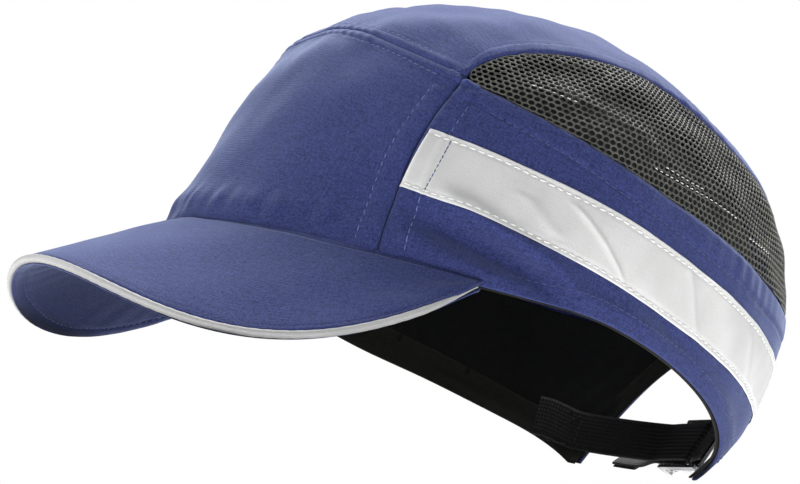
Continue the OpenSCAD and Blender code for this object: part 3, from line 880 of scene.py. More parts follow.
top = dome("crown_panel_cloth", crown_rim, 520, 84, FABRIC_T, cover_relief)
finish_piece(top, BLUE, ["crown_panel"])

for mirrored, label in SIDES:
    panel = cover_sheet(f"{label}_side_panel_cloth", side_where, 340, 84, mirrored=mirrored)
    finish_piece(panel, BLUE, [f"{label}_side_panel"])


# ---- Reflective tape

TAPE_LIFT = 0.12
TAPE_T = 0.38
TAPE_REAR_TH = 157.2
TAPE_ROW = 1.5
TAPE_TOP_U_MM = 190.0


def tape_start(t):
    foot = tape_bottom(SEAM_FOOT_TH + 2)
    return side_seam(foot) + 3.0 * t + 0.15


def tape_where(s, t):
    th = mix(tape_start(t), TAPE_REAR_TH, s)
    return th, mix(tape_bottom(th), tape_top(th), t)


def tape_waves(th, u):
    """Slow ripples across the tape, and a groove under each row of stitches."""
    low, high = tape_bottom(th), tape_top(th)
    from_low, from_high = (u - low) * LOW_U_MM, (high - u) * TAPE_TOP_U_MM
    groove = -0.22 * bump(from_low - TAPE_ROW, 0.7) - 0.22 * bump(from_high - TAPE_ROW, 0.7)
    ripple = 0.10 * np.sin(np.radians(th) * 29 + 40 * u) + 0.06 * np.sin(np.radians(th) * 61 - 55 * u)
    return ripple + groove


for mirrored, label in SIDES:
    tape = cover_sheet(
        f"{label}_reflective_tape_strip", tape_where, 330, 44,
        TAPE_LIFT + TAPE_T, TAPE_LIFT, mirrored, tape_waves,
    )
    finish_piece(tape, TAPE, [f"{label}_reflective_tape"])


# ---- Air mesh: a honeycomb of knitted strands

CELL_W = 2.15
CELL_H = 1.75
BRICK_STEP = 0.14
MESH_SLANT = 0.35
MESH_TURN = 8.0
STRAND = 0.78
NET_W = 200
NET_H = 110


def honeycomb(width, height):
    """Corner points and six-sided cells of a slanted brick net that covers a rectangle."""
    corner = ((0, 2), (1, 1), (1, -1), (0, -2), (-1, -1), (-1, 1))
    cells, keys, points = [], {}, []
    columns, rows = int(width / CELL_W / 2) + 2, int(height / CELL_H / 2) + 2
    for row in range(-rows, rows):
        for column in range(-columns, columns):
            cell = []
            for cx, cy in corner:
                key = (2 * column + row % 2 + cx, 3 * row + cy)
                if key not in keys:
                    keys[key] = len(points)
                    level = (key[1] - 1) // 3
                    step = BRICK_STEP if key[1] % 3 == 2 else -BRICK_STEP
                    y = (level + 0.5 + step) * CELL_H
                    points.append((key[0] * CELL_W / 2 + MESH_SLANT * y, y))
                cell.append(keys[key])
            cells.append(cell)
    return np.array(points), cells


def mesh_relief(th, u):
    """The net lies a little under the cloth and hangs in slack waves."""
    r = np.radians(th)
    slack = 0.5 * np.sin(9 * r + 30 * u) + 0.35 * np.sin(15 * r - 52 * u + 1)
    a = np.abs(th)
    ridge = 0.9 * bump((u - 0.352 + 0.0030 * (a - 73)) * MID_U_MM, 2.2) * window(a, 66, 104, 10)
    depth = window(u, mesh_bottom(th), mesh_top(th), 0.05)
    return crown_fit(th, u) - 0.25 - 0.3 * depth + (slack + ridge) * depth


def air_mesh(name, mirrored):
    points, cells = honeycomb(NET_W, NET_H)
    turn = np.radians(MESH_TURN)
    x = points[:, 0] * np.cos(turn) - points[:, 1] * np.sin(turn)
    y = points[:, 0] * np.sin(turn) + points[:, 1] * np.cos(turn)
    th = (CORNER_TH + MESH_REAR_TH) / 2 + x / DEGREE_MM
    end = STRIP_TURN_TH - 0.3
    kept_th = np.clip(th, CORNER_TH + 0.5, end)
    u = mesh_bottom(np.clip(th, 0, 180)) + 0.16 + y / MID_U_MM
    low, high = mesh_bottom(kept_th), np.maximum(mesh_top(kept_th), mesh_bottom(kept_th) + 0.004)
    kept_u = np.clip(u, low, high)
    inside = (th > CORNER_TH) & (th < end + 1) & (u > low - 0.004) & (u < high + 0.004)
    chosen = [c for c in cells if sum(inside[k] for k in c) >= 4]
    used = sorted({k for c in chosen for k in c})
    renumber = {k: i for i, k in enumerate(used)}
    th_used, u_used = kept_th[used], kept_u[used]
    verts = crown(th_used, u_used) + mesh_relief(th_used, u_used)[:, None] * crown_normal(th_used, u_used)
    faces = [[renumber[k] for k in c] for c in chosen]
    if mirrored:
        verts, faces = flip_x(verts), [f[::-1] for f in faces]
    net = add_mesh(name, verts, faces, points[used] / 10)
    bpy.context.view_layer.objects.active = net
    wire = net.modifiers.new("strands", "WIREFRAME")
    wire.thickness = STRAND * MM
    wire.use_even_offset = False
    wire.use_boundary = True
    smooth = net.modifiers.new("round", "SUBSURF")
    smooth.levels = smooth.render_levels = 1
    apply_modifiers(net)
    return net


def apply_modifiers(obj):
    graph = bpy.context.evaluated_depsgraph_get()
    baked = bpy.data.meshes.new_from_object(obj.evaluated_get(graph))
    obj.modifiers.clear()
    obj.data = baked
    baked.shade_smooth()


for mirrored, label in SIDES:
    net = air_mesh(f"{label}_air_mesh", mirrored)
    finish_piece(net, KNIT, [f"{label}_mesh_panel"])


# ---- Stitching

STITCH_LEN = 2.3
STITCH_GAP = 0.45
STITCH_R = 0.17


def ring_faces(rings, sides):
    """Quads between rings of corners, with a cap on each end."""
    faces = []
    for i in range(rings - 1):
        for k in range(sides):
            a, b = i * sides + k, i * sides + (k + 1) % sides
            faces.append((a, b, b + sides, a + sides))
    faces.append(tuple(reversed(range(sides))))
    faces.append(tuple((rings - 1) * sides + k for k in range(sides)))
    return faces


def stitch_template(length, radius, sides=6):
    """One stitch: a short thread that sinks into the cloth at both ends."""
    rings = ((-0.5, 0.15), (-0.4, 0.75), (-0.15, 1.0), (0.15, 1.0), (0.4, 0.75), (0.5, 0.15))
    verts = []
    for x, r in rings:
        sink = -0.9 * radius * (2 * x) ** 2
        for k in range(sides):
            a = 2 * np.pi * k / sides
            verts.append((x * length, r * radius * np.cos(a), r * radius * np.sin(a) + sink))
    return np.array(verts), [face[::-1] for face in ring_faces(len(rings), sides)]


def stitch_row(points, normals, length, gap, radius, seed):
    """Stitches along a line: corners, and faces numbered from 0."""
    rng = np.random.default_rng(seed)
    template, cells = stitch_template(length, radius)
    steps = walked(points)
    at = np.arange(length, steps[-1] - length, length + gap)
    at = at + rng.uniform(-0.12, 0.12, len(at))
    place = np.stack([np.interp(at, steps, points[:, k]) for k in range(3)], -1)
    ahead = np.stack([np.interp(at + 0.4, steps, points[:, k]) for k in range(3)], -1)
    n = unit(np.stack([np.interp(at, steps, normals[:, k]) for k in range(3)], -1))
    t = unit(ahead - place)
    slant = rng.uniform(-0.07, 0.07, (len(at), 1)) + 0.06
    t = unit(t + slant * np.cross(n, t))
    b = np.cross(n, t)
    wander = 0.22 * np.sin(at / 6.3 + seed) + 0.18 * np.sin(at / 15.7 + 2 * seed)
    place = place + wander[:, None] * b
    blocks = (
        place[:, None]
        + template[None, :, :1] * t[:, None]
        + template[None, :, 1:2] * b[:, None]
        + template[None, :, 2:] * n[:, None]
    )
    size = len(template)
    faces = [tuple(k + i * size for k in cell) for i in range(len(at)) for cell in cells]
    return blocks.reshape(-1, 3), faces


def add_stitches(
    name, rows, material, body="cover", length=STITCH_LEN, gap=STITCH_GAP, radius=STITCH_R
):
    """rows is a list of (points, normals) along each line of stitching."""
    verts, faces = [], []
    start = 0
    for number, (points, normals) in enumerate(rows):
        v, f = stitch_row(points, normals, length, gap, radius, number + 3)
        faces.extend([tuple(k + start for k in g) for g in f])
        verts.append(v)
        start += len(v)
    verts = np.concatenate(verts)
    obj = add_mesh(name, verts, faces, verts[:, :2] / 10, sharp=80)
    return finish_piece(obj, material, body=body)


def on_cover(th, u, off=0.05):
    """A line of points on the cover with its normals."""
    return cover(th, u, off), cover_normal(th, u)


def seam_rows(side):
    """Topstitching either side of the side seam; behind it, the row stops short of the mesh."""
    u = np.linspace(0.012, CORNER_U - 0.012, 160)
    for offset in (-ROW, ROW):
        span = u if offset < 0 else u[u < CORNER_U - 0.055]
        yield on_cover(side * (side_seam(span) + offset / DEGREE_MM), span)


def brow_rows():
    th = np.linspace(-CORNER_TH + 4, CORNER_TH - 4, 300)
    for offset in (-BROW_ROW, BROW_ROW):
        yield on_cover(th, top_seam(th) + offset / MID_U_MM)


def mesh_rows(side):
    th = np.linspace(CORNER_TH + 5.0, MESH_REAR_TH - 2, 320)
    yield on_cover(side * th, mesh_bottom(th) - ROW / MID_U_MM)
    th = np.linspace(CORNER_TH + 6.0, MESH_REAR_TH - 8, 320)
    yield on_cover(side * th, mesh_top(th) + ROW / MID_U_MM)


def strip_rows(side):
    t = np.linspace(0.02, 0.97, 120)
    th, u = strip_edge(t)
    yield on_cover(side * (th + 5 / 1.4), u)


for side, label in SIGNS:
    rows = [*seam_rows(side), *strip_rows(side)]
    add_stitches(f"{label}_panel_stitching", rows, BLUE_THREAD)
    add_stitches(f"{label}_vent_stitching", mesh_rows(side), DARK_THREAD)
add_stitches("brow_stitching", brow_rows(), BLUE_THREAD)


def glint_rows(side):
    """Bright dashes of the inner stitching that show through the air mesh."""
    for start, end, climb in ((94, 106, 7.5), (91, 115, 5.0), (119, 129, 6.5), (66, 76, 9.0)):
        th = np.linspace(start, end, 60)
        rise = climb + 0.16 * (th - start)
        yield on_cover(side * th, mesh_bottom(th) + rise / MID_U_MM, 0.1)


for side, label in SIGNS:
    add_stitches(
        f"{label}_mesh_glints", glint_rows(side), WHITE_THREAD, length=1.3, gap=1.0, radius=0.14,
    )


def tape_rows(side):
    th = np.linspace(float(tape_start(0.0)) + 0.3, TAPE_REAR_TH - 1, 360)
    yield on_cover(side * th, tape_bottom(th) + TAPE_ROW / LOW_U_MM, TAPE_LIFT + TAPE_T + 0.05)
    th = np.linspace(float(tape_start(1.0)) + 0.3, TAPE_REAR_TH - 1, 360)
    yield on_cover(side * th, tape_top(th) - TAPE_ROW / TAPE_TOP_U_MM, TAPE_LIFT + TAPE_T + 0.05)


for side, label in SIGNS:
    add_stitches(
        f"{label}_tape_stitching", tape_rows(side), WHITE_THREAD,
        length=2.2, gap=0.75, radius=0.27,
    )
    t = np.linspace(-0.005, 1.005, 60)
    across = tape_start(t) + ROW / DEGREE_MM
    line = on_cover(side * across, mix(tape_bottom(across), tape_top(across), t), TAPE_LIFT + TAPE_T + 0.02)
    add_stitches(
        f"{label}_tape_end_stitching", [line], DARK_THREAD,
        length=1.6, gap=0.05, radius=0.18,
    )


# ---- Peak

PEAK_CORNER_TH = 66.4
PEAK_SWEEP = 101.9
PEAK_HALF_W = 85.0
PEAK_REACH = 97.4
PEAK_CENTRE_Y = -61.0
PEAK_ARCH = (21.0, -60.7, 33.1, 19.9)
PEAK_ROOT_GAP = 0.3
PEAK_ROOT_RISE = -0.8
PEAK_END = 0.012
BOARD_T = 1.6
COVER_GAP = 0.15
COVER_T = 0.75
PIPING_R = 1.2


def peak_edge(s):
    a = np.radians(PEAK_SWEEP * (2 * s - 1))
    c = np.cos(a)
    z = PEAK_ARCH[0] + PEAK_ARCH[1] * c + PEAK_ARCH[2] * c ** 2 + PEAK_ARCH[3] * c ** 3
    x = PEAK_HALF_W * np.sin(a) * (1 - 0.03 * c * c)
    y = PEAK_CENTRE_Y - PEAK_REACH * c + 5.4 * c * c
    return np.stack([x, y, z], -1)


def peak_root(s):
    th = PEAK_CORNER_TH * (2 * s - 1)
    lift = PEAK_ROOT_RISE * np.sin(np.pi * s)
    base = crown(th, 0 * th) + PEAK_ROOT_GAP * crown_normal(th, 0 * th)
    return base + lift[..., None] * np.array([0, 0, 1.0])


def peak_mid(s, t):
    s, t = np.broadcast_arrays(s, t)
    return mix(peak_root(s), peak_edge(s), t[..., None])


def peak_normal(s, t):
    q = np.clip(s, 0.01, 0.99)
    around = peak_mid(q + 0.008, t) - peak_mid(q - 0.008, t)
    out = peak_mid(q, np.minimum(t + 0.01, 1)) - peak_mid(q, np.maximum(t - 0.01, 0))
    n = unit(np.cross(around, out))
    return n * np.where(n[..., 2:] < 0, -1, 1)


def peak_at(s, t, off):
    return peak_mid(s, t) + np.asarray(off)[..., None] * peak_normal(s, t)


def edge_distance(s, t):
    """Distance from the peak's edge, in millimetres."""
    return np.linalg.norm(peak_edge(s) - peak_mid(s, t), axis=-1)


def top_cloth(s, t):
    """Off the board's top face: the cloth dips into the seam at the crown."""
    d = edge_distance(s, t)
    behind_root = np.maximum(d - edge_distance(s, 0 * s), 0)
    row = -0.2 * bump(d - 2.2, 0.6)
    ripple = 0.14 * np.sin(37 * s + 8 * t) + 0.10 * np.sin(61 * s - 13 * t)
    return row + ripple - 1.1 * np.minimum(behind_root, 1.5) - 0.9 * ease((1.3 - d) / 1.4)


def under_cloth(s, t):
    """Off the board's under face: fine gathers run in from the edge near the tip of the peak."""
    d = edge_distance(s, t)
    gathers = np.sin(2 * np.pi * s * 31 + 2.3 * np.sin(17 * s)) + 0.8 * np.sin(2 * np.pi * s * 19 + 2)
    patchy = 0.5 + 0.5 * np.sin(13 * s + 1)
    row = -0.35 * bump(d - 4.2, 0.9)
    return row + 0.22 * gathers * patchy * bump(d - 12, 10) - 0.25 * ease((1.3 - d) / 1.4)


def peak_sheet(name, face_off, thick, inset, t1, cloth, up, ns=300, nt=70):
    """inset is how far the cloth runs on under the crown from the peak's root, in millimetres."""
    s, t = st_grid(ns, nt)
    s = mix(PEAK_END, 1 - PEAK_END, s)
    start = np.clip(-inset / edge_distance(s, 0 * s), -0.5, 0.2)
    t = mix(start, t1, t)
    relief = cloth(s, t)
    face = peak_at(s, t, up * (face_off + relief))
    back = peak_at(s, t, up * (face_off - thick) + 0 * s)
    way = slice(None, None, -1) if up > 0 else slice(None)
    return grid_sheet(name, face[way], back[way])


face_off = BOARD_T / 2 + COVER_GAP + COVER_T
peak_top = peak_sheet("peak_top_cloth", face_off, COVER_T, 4.0, 0.985, top_cloth, 1)
finish_piece(peak_top, BLUE, ["peak_top_cover"])
peak_under = peak_sheet("peak_under_cloth", face_off, COVER_T, -3.0, 1.009, under_cloth, -1)
finish_piece(peak_under, BLUE, ["peak_under_cover"])


def sweep(name, points, side, up, across, rise, v, turn=1, sharp=70):
    """A closed skin along points; across and rise draw its section, and v is its texture's second axis."""
    n, sides = len(points), len(across)
    rings = points[:, None] + across[None, :, None] * side[:, None] + rise[None, :, None] * up[:, None]
    faces = [face[::turn] for face in ring_faces(n, sides)]
    uv = np.stack([np.repeat(walked(points)[:, None], sides, 1), np.broadcast_to(v, (n, sides))], -1) / 10
    return add_mesh(name, rings.reshape(-1, 3), faces, uv.reshape(-1, 2), sharp)


PIPING_SIDES = 14


def tube(name, points, side, up, radius_a, radius_b):
    """A closed tube along points, with side and up the axes of its oval."""
    a = 2 * np.pi * np.arange(PIPING_SIDES) / PIPING_SIDES
    return sweep(name, points, side, up, radius_a * np.cos(a), radius_b * np.sin(a), a * radius_a)


def edge_frame(count, start=PEAK_END, end=1 - PEAK_END):
    s = np.linspace(start, end, count)
    p = peak_edge(s)
    n = peak_normal(s, np.ones_like(s))
    along = unit(peak_edge(s + 0.004) - peak_edge(s - 0.004))
    away = unit(np.cross(along, n))
    outward = np.sum(away * (p - peak_root(s)), -1, keepdims=True)
    away = away * np.where(outward < 0, -1, 1)
    return s, p, n, away


def piping():
    s, p, n, away = edge_frame(420)
    ends = ease(np.minimum(s, 1 - s) / 0.07)
    size = (1 + 0.03 * np.sin(2 * np.pi * s * 75)) * (0.3 + 0.7 * ends)
    centre = p + away * (-0.9 + 1.1 * ends)[:, None] + n * (0.45 * ends)[:, None]
    wide, tall = away * size[:, None], n * size[:, None]
    return tube("peak_piping_cord", centre, wide, tall, PIPING_R * 0.95, PIPING_R * 1.1)


finish_piece(piping(), PIPING, ["peak_piping"])


def peak_row(distance, up, cloth):
    """A line of stitches round the peak, this far in from its edge."""
    s = np.linspace(0.035, 0.965, 420)
    t = np.full_like(s, 0.9)
    for _ in range(8):
        t = np.clip(t + (edge_distance(s, t) - distance) / np.maximum(edge_distance(s, 0 * s), 1), 0.02, 0.99)
    return peak_at(s, t, up * (face_off + cloth(s, t) + 0.05)), up * peak_normal(s, t)


add_stitches("peak_top_stitching", [peak_row(2.2, 1, top_cloth)], DARK_THREAD, radius=0.17)
add_stitches("peak_under_stitching", [peak_row(4.2, -1, under_cloth)], BLUE_THREAD, radius=0.2)


# ---- Linings, bindings, sweatband and tapes inside the cover


def quiet(th, u):
    """Undoes the outer cloth's seams so that an inner layer hangs smoothly behind it."""
    lower = np.where(u < 0.2, folds(th, u) + root_roll(th, u), 0)
    return crown_fit(th, u) + lower - cover_relief(th, u)


def lining_wrinkles(th, u):
    r = np.radians(th)
    waves = 0.22 * np.sin(33 * r + 60 * u) * np.sin(12 * r + 1) + 0.12 * np.sin(71 * r - 90 * u)
    return quiet(th, u) - 0.25 + waves


LINING_OUT = -FABRIC_T - 0.25


def inner_layer(name, node, where, ns, nt, face, thick, material=LINING, mirrored=False, relief=quiet):
    """A layer behind the outer cloth: face is the offset of its outer side."""
    sheet = cover_sheet(name, where, ns, nt, face, face - thick, mirrored, relief)
    finish_piece(sheet, material, [node])


def lining_where(s, t):
    return side_where(mix(0.03, 0.985, s), mix(0.03, 0.93, t))


def stiffener_where(s, t):
    side = 2 * s - 1
    return side * (side_seam(0.2) - 7), mix(0.03, top_seam(42 * side) - 0.035, t)


def sweatband_where(s, t):
    return 66 * (2 * s - 1), mix(0.002, 0.118, t)


def sweatband_quilt(th, u):
    channel = 0.35 * np.abs(np.sin(np.pi * (u - 0.002) / 0.116 * 2))
    return quiet(th, u) + channel - 0.5 + 0.12 * np.sin(np.radians(th) * 57)


def seam_tape_where(s, t):
    u = mix(0.10, 0.322, s)
    return side_seam(u) + mix(-2.6, 2.6, t), u


def front_tape_where(s, t):
    th = 50 * (2 * s - 1)
    return th, top_seam(th) + mix(-0.026, 0.030, t)


for mirrored, label in SIDES:
    inner_layer(
        f"{label}_lining_cloth", f"{label}_lining", lining_where, 200, 50, LINING_OUT, 0.5,
        mirrored=mirrored, relief=lining_wrinkles,
    )
inner_layer("front_stiffener_sheet", "front_stiffener", stiffener_where, 90, 60, LINING_OUT, 0.8)
inner_layer(
    "sweatband_pad", "sweatband", sweatband_where, 240, 40,
    -FABRIC_T - 0.9, 1.2, TERRY, relief=sweatband_quilt,
)
inner_layer("front_seam_tape_strip", "front_seam_tape", front_tape_where, 120, 8, LINING_OUT, 0.5, BINDING)
for mirrored, label in SIDES:
    inner_layer(
        f"{label}_seam_tape_strip", f"{label}_seam_tape", seam_tape_where, 80, 8,
        LINING_OUT - 0.8, 0.4, BINDING, mirrored,
    )


HEM_START_TH = 64.0


def hem_binding_where(s, t, reach):
    th = mix(HEM_START_TH, TAB_REAR_TH - 0.6, s)
    return th, hem_u(th) + mix(-reach / LOW_U_MM, 0.042, t)


def arch_where(s, t):
    climb = np.pi * mix(0.02, 0.98, s)
    th = 180 - (ARCH_HALF_TH - 0.55 + 3.4 * t) * np.cos(climb)
    rise = (ARCH_H - TAB_Z) * np.sin(climb)
    z = TAB_Z - 1.7 * np.sin(climb) + rise + 8 * t * np.sin(climb) + 0.5
    return th, u_at(np.where(th > 180, 360 - th, th), z)


BIND_OUT = LINING_OUT + 0.15
BIND_T = 0.7
for mirrored, label, reach in ((False, "left", 0.6), (True, "right", 1.9)):
    inner_layer(
        f"{label}_hem_binding_tape", f"{label}_hem_binding",
        lambda s, t: hem_binding_where(s, t, reach), 230, 10,
        BIND_OUT - 0.5, BIND_T, BINDING, mirrored,
    )
inner_layer("arch_binding_tape", "arch_binding", arch_where, 150, 8, BIND_OUT - 0.3, BIND_T, BINDING)


def hem_rows(side):
    th = np.linspace(PEAK_CORNER_TH + 2, TAB_FRONT_TH - 1, 300)
    yield on_cover(side * th, hem_u(th) + 5.5 / LOW_U_MM)


def arch_row():
    climb = np.radians(np.linspace(8, 172, 200))
    th = 180 - (ARCH_HALF_TH + 2.6) * np.cos(climb)
    z = TAB_Z + 1 + (ARCH_H - TAB_Z + 5) * np.sin(climb)
    folded = np.where(th > 180, th - 360, th)
    return on_cover(folded, u_at(np.abs(folded), z))


for side, label in SIGNS:
    add_stitches(f"{label}_hem_stitching", hem_rows(side), DARK_THREAD, radius=0.18)
add_stitches("arch_stitching", [arch_row()], BLUE_THREAD, radius=0.2)


# ---- Hard shell and its foam pads

# The shell's outer face stands this far inside the crown, and further at the nape
SHELL_GAP = 7.4
NAPE_GAP = 3.5
SHELL_T = 1.5
SHELL_Z = {"front": 62.0, "side": 60.0, "rear": 74.0}
SHELL_COLUMNS = 216
SHELL_ROWS = 60


def shell_off(th, u):
    """How far the shell stands off the crown, the same at every height."""
    return 0 * u - SHELL_GAP - NAPE_GAP * np.maximum(-np.cos(np.radians(th)), 0) ** 2


def shell_rim(a):
    c = np.cos(np.radians(a))
    f, b = np.maximum(c, 0) ** 2, np.maximum(-c, 0) ** 2
    z = SHELL_Z["side"] * (1 - f - b) + SHELL_Z["front"] * f + SHELL_Z["rear"] * b
    return a, u_at(np.abs(a), z)


def shell_slot(i, j):
    """Twelve vent slots with a cross rib in each."""
    column = i % (SHELL_COLUMNS // 12)
    lane = abs(column - 8.5)
    if lane > 2 or not 17 < j < 42:
        return False
    rounded = j in (18, 41) and lane > 1
    return not rounded and j not in (29, 30)


shell = dome("bump_shell", shell_rim, SHELL_COLUMNS, SHELL_ROWS, SHELL_T, shell_off, shell_slot)
finish_piece(shell, SHELL, ["hard_shell"], body="insert")


# A pad starts this much smaller than its solid, and may swell this far beyond it
PAD_SHRINK = 0.7
PAD_LIMIT = 1.2
PAD_PRESSURE = 4.0
PAD_STIFFNESS = 25
PAD_FRAMES = 14


def vertex_values(mesh, key):
    values = np.empty(len(mesh.vertices) * 3, np.float32)
    mesh.vertices.foreach_get(key, values)
    return values.reshape(-1, 3).astype(float)


def place_vertices(mesh, points):
    mesh.vertices.foreach_set("co", points.astype(np.float32).ravel())
    mesh.update()


def inflate(pad, rest):
    """Blows a pad up with cloth simulation, and keeps each point within reach of where it was."""
    cloth = pad.modifiers.new("cloth", "CLOTH")
    settings = cloth.settings
    settings.use_pressure = True
    settings.uniform_pressure_force = PAD_PRESSURE
    settings.effector_weights.gravity = 0
    settings.quality = 4
    settings.tension_stiffness = settings.compression_stiffness = PAD_STIFFNESS
    settings.bending_stiffness = 0.5
    settings.mass = 0.2
    cloth.point_cache.frame_start, cloth.point_cache.frame_end = 1, PAD_FRAMES
    for step in range(1, PAD_FRAMES + 1):
        bpy.context.scene.frame_set(step)
    apply_modifiers(pad)
    bpy.context.scene.frame_set(1)
    shift = vertex_values(pad.data, "co") - rest
    size = np.linalg.norm(shift, axis=1, keepdims=True)
    place_vertices(pad.data, rest + shift * np.minimum(1, PAD_LIMIT * MM / np.maximum(size, 1e-9)))


def puff(node, name, voxel):
    """A foam pad with a sewn cloth face: the CAD solid, remeshed, shrunk and blown up by cloth simulation."""
    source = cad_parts[node]
    pad = bpy.data.objects.new(name, source.data.copy())
    bpy.context.scene.collection.objects.link(pad)
    remesh = pad.modifiers.new("remesh", "REMESH")
    remesh.mode = "VOXEL"
    remesh.voxel_size = voxel * MM
    apply_modifiers(pad)
    rest = vertex_values(pad.data, "co")
    place_vertices(pad.data, rest - vertex_values(pad.data, "normal") * PAD_SHRINK * MM)
    inflate(pad, rest)
    smooth = pad.modifiers.new("smooth", "SUBSURF")
    smooth.levels = smooth.render_levels = 1
    apply_modifiers(pad)
    return pad


for node in ("front_pad", "rear_pad", "left_pad", "right_pad", "crown_pad"):
    voxel = 1.8 if node == "crown_pad" else 1.6
    finish_piece(puff(node, f"{node}_cushion", voxel), FOAM, [node], body="insert")


# ---- Strap: webbing leans outwards as it climbs, so every place on it has its own normal and up

STRAP_CENTRE_Y = 32.5
STRAP_Z = 13.2
STRAP_LEAN = np.radians(24)
STRAP_R = 64.6
STRAP_H = 17.5
STRAP_T = 1.4
STRAP_RIGHT = -52.0
FLAT_FROM = -1.0
FLAT_TO = 25.0
BUCKLE_AT = (FLAT_FROM + FLAT_TO) / 2
FLAT_HALF = np.radians((FLAT_TO - FLAT_FROM) / 2)
FLAT_R = STRAP_R * np.cos(FLAT_HALF)
FLAT_LEN = 2 * STRAP_R * np.sin(FLAT_HALF)
LOOP_X = 9.0
TIE_X = 15.6
FRAME_Y = 1.8
WRAP = 1.0 + STRAP_T / 2
TAIL_FROM = -27.0
TAIL_R = STRAP_R + 3.2

STRAP_CENTRE = np.array([0, STRAP_CENTRE_Y, STRAP_Z])
UPRIGHT = np.array([0, 0, 1.0])


def leaning(angle):
    """Outwards, then the webbing's normal and up, at an angle from the back towards the left."""
    a = np.radians(angle)
    out = np.stack([np.sin(a), np.cos(a), 0 * a], -1)
    normal = np.cos(STRAP_LEAN) * out - np.sin(STRAP_LEAN) * UPRIGHT
    return out, normal, np.sin(STRAP_LEAN) * out + np.cos(STRAP_LEAN) * UPRIGHT


def band_frame(angle, radius, z=0.0):
    """Point, normal and up of the webbing round the back."""
    out, normal, up = leaning(angle)
    return STRAP_CENTRE + np.asarray(radius)[..., None] * out + np.asarray(z)[..., None] * UPRIGHT, normal, up


def buckle_frame_at(x, y, turn):
    """The same in the buckle's flat: x left along the strap, y outwards, turn round the bar in degrees."""
    out, face, up = leaning(BUCKLE_AT)
    left = np.array([out[1], -out[0], 0])
    points = STRAP_CENTRE + FLAT_R * out + x[:, None] * left + y[:, None] * face
    w = np.radians(turn)[:, None]
    normals = np.cos(w) * face + np.sin(w) * left
    return points, normals, np.broadcast_to(up, points.shape)


def loop_path(x, side, count=18):
    """Half a turn round an upright bar, from the inner run to the outer one."""
    w = np.linspace(-90, 90, count)
    r = np.radians(w)
    return buckle_frame_at(x + side * WRAP * np.cos(r), FRAME_Y + WRAP * np.sin(r), side * (90 - w))


def join(parts):
    return [np.concatenate([p[k] for p in parts]) for k in range(3)]


def soften(path, rounds):
    """Rounds the corners where two stretches of the path meet."""
    points, normals, ups = path
    for _ in range(rounds):
        for values in (points, normals, ups):
            values[1:-1] = values[1:-1] * 0.5 + (values[:-2] + values[2:]) * 0.25
    return points, unit(normals), unit(ups)


WEBBING_SIDES = 28


def ribbon(name, path, height, thick):
    """Webbing swept along a path, with full rounded edges and a slightly raised selvedge."""
    points, normals, ups = path
    a = 2 * np.pi * (np.arange(WEBBING_SIDES) + 0.5) / WEBBING_SIDES
    across = np.sign(np.cos(a)) * np.abs(np.cos(a)) ** 0.45 * height / 2
    out = np.sign(np.sin(a)) * np.abs(np.sin(a)) ** 0.7 * thick / 2
    out = out * (0.9 + 0.16 * bump(np.abs(across) - height / 2 + 1.2, 0.9))
    return sweep(name, points, ups, normals, across, out, across, turn=-1, sharp=75)


INNER_Y = FRAME_Y - WRAP
OUTER_Y = FRAME_Y + WRAP
DROOP = 4.9
TAIL_FLARE = 12.5
TAIL_TWIST = 0.75
WEBBING_H = 16.3
WEBBING_DROP = 0.5


def tail_band(tail):
    """The free end of the webbing, which falls away from the strap behind it."""
    hang = ease((FLAT_FROM - 2 - tail) / 18)
    p, n, up = band_frame(tail, TAIL_R + TAIL_FLARE * hang, -DROOP * hang - WEBBING_DROP)
    twist = TAIL_TWIST * hang[:, None]
    return p, unit(n - twist * up), unit(up + twist * n)


def strap_path():
    arc = np.linspace(STRAP_RIGHT, FLAT_FROM - 1.5, 70)
    sway = 0.35 * np.sin(np.radians(arc) * 7)
    rise = 3.0 * ease((-36 - arc) / 14) - WEBBING_DROP
    run = np.linspace(-FLAT_LEN / 2 + 1, LOOP_X - 0.4, 24)
    back = run[::-1]
    tail = np.linspace(FLAT_FROM - 2.5, TAIL_FROM, 46)
    return soften(
        join([
            band_frame(arc, STRAP_R + sway, rise),
            buckle_frame_at(run, np.full(len(run), INNER_Y), np.full(len(run), 180.0)),
            loop_path(LOOP_X, 1),
            buckle_frame_at(back, np.full(len(back), OUTER_Y), np.zeros(len(back))),
            tail_band(tail),
        ]),
        3,
    )


def fix_normals(path):
    """Keeps the webbing's face the same way up all along, through the turn round the bar."""
    points, _, ups = path
    tangent = unit(np.gradient(points, axis=0))
    return points, unit(np.cross(ups, tangent)), ups


strap = ribbon("adjusting_strap_webbing", fix_normals(strap_path()), WEBBING_H, STRAP_T)
finish_piece(strap, WEBBING, ["adjusting_strap"])


def anchor_path():
    run = np.linspace(TIE_X + 2.6, TIE_X + 0.3, 6)
    arc = np.linspace(46, FLAT_TO + 2.5, 26)
    meet = mix(OUTER_Y, INNER_Y + STRAP_T, np.linspace(0, 1, len(run)) ** 2)
    return soften(
        join([
            band_frame(arc, STRAP_R + 2.6 * ease((arc - 29) / 14)),
            buckle_frame_at(run, np.full(len(run), INNER_Y), np.zeros(len(run))),
            loop_path(TIE_X, -1),
            buckle_frame_at(run[::-1], meet, np.zeros(len(run))),
        ]),
        2,
    )


anchor = ribbon("buckle_anchor_webbing", fix_normals(anchor_path()), STRAP_H, STRAP_T)
finish_piece(anchor, WEBBING, ["buckle_anchor"])


def box_stitch(angle0, angle1, radius):
    """A sewn box with a cross in it, where the webbing is sewn to a tab."""
    high = STRAP_H / 2 - 2
    box = [(angle0, -high), (angle1, -high), (angle1, high), (angle0, high)]
    corners = box + [box[0], box[2]]
    for (a0, z0), (a1, z1) in zip(corners[:-1], corners[1:]):
        t = np.linspace(0, 1, 24)
        p, n, up = band_frame(mix(a0, a1, t), np.full(24, radius))
        yield p + mix(z0, z1, t)[:, None] * up, -n


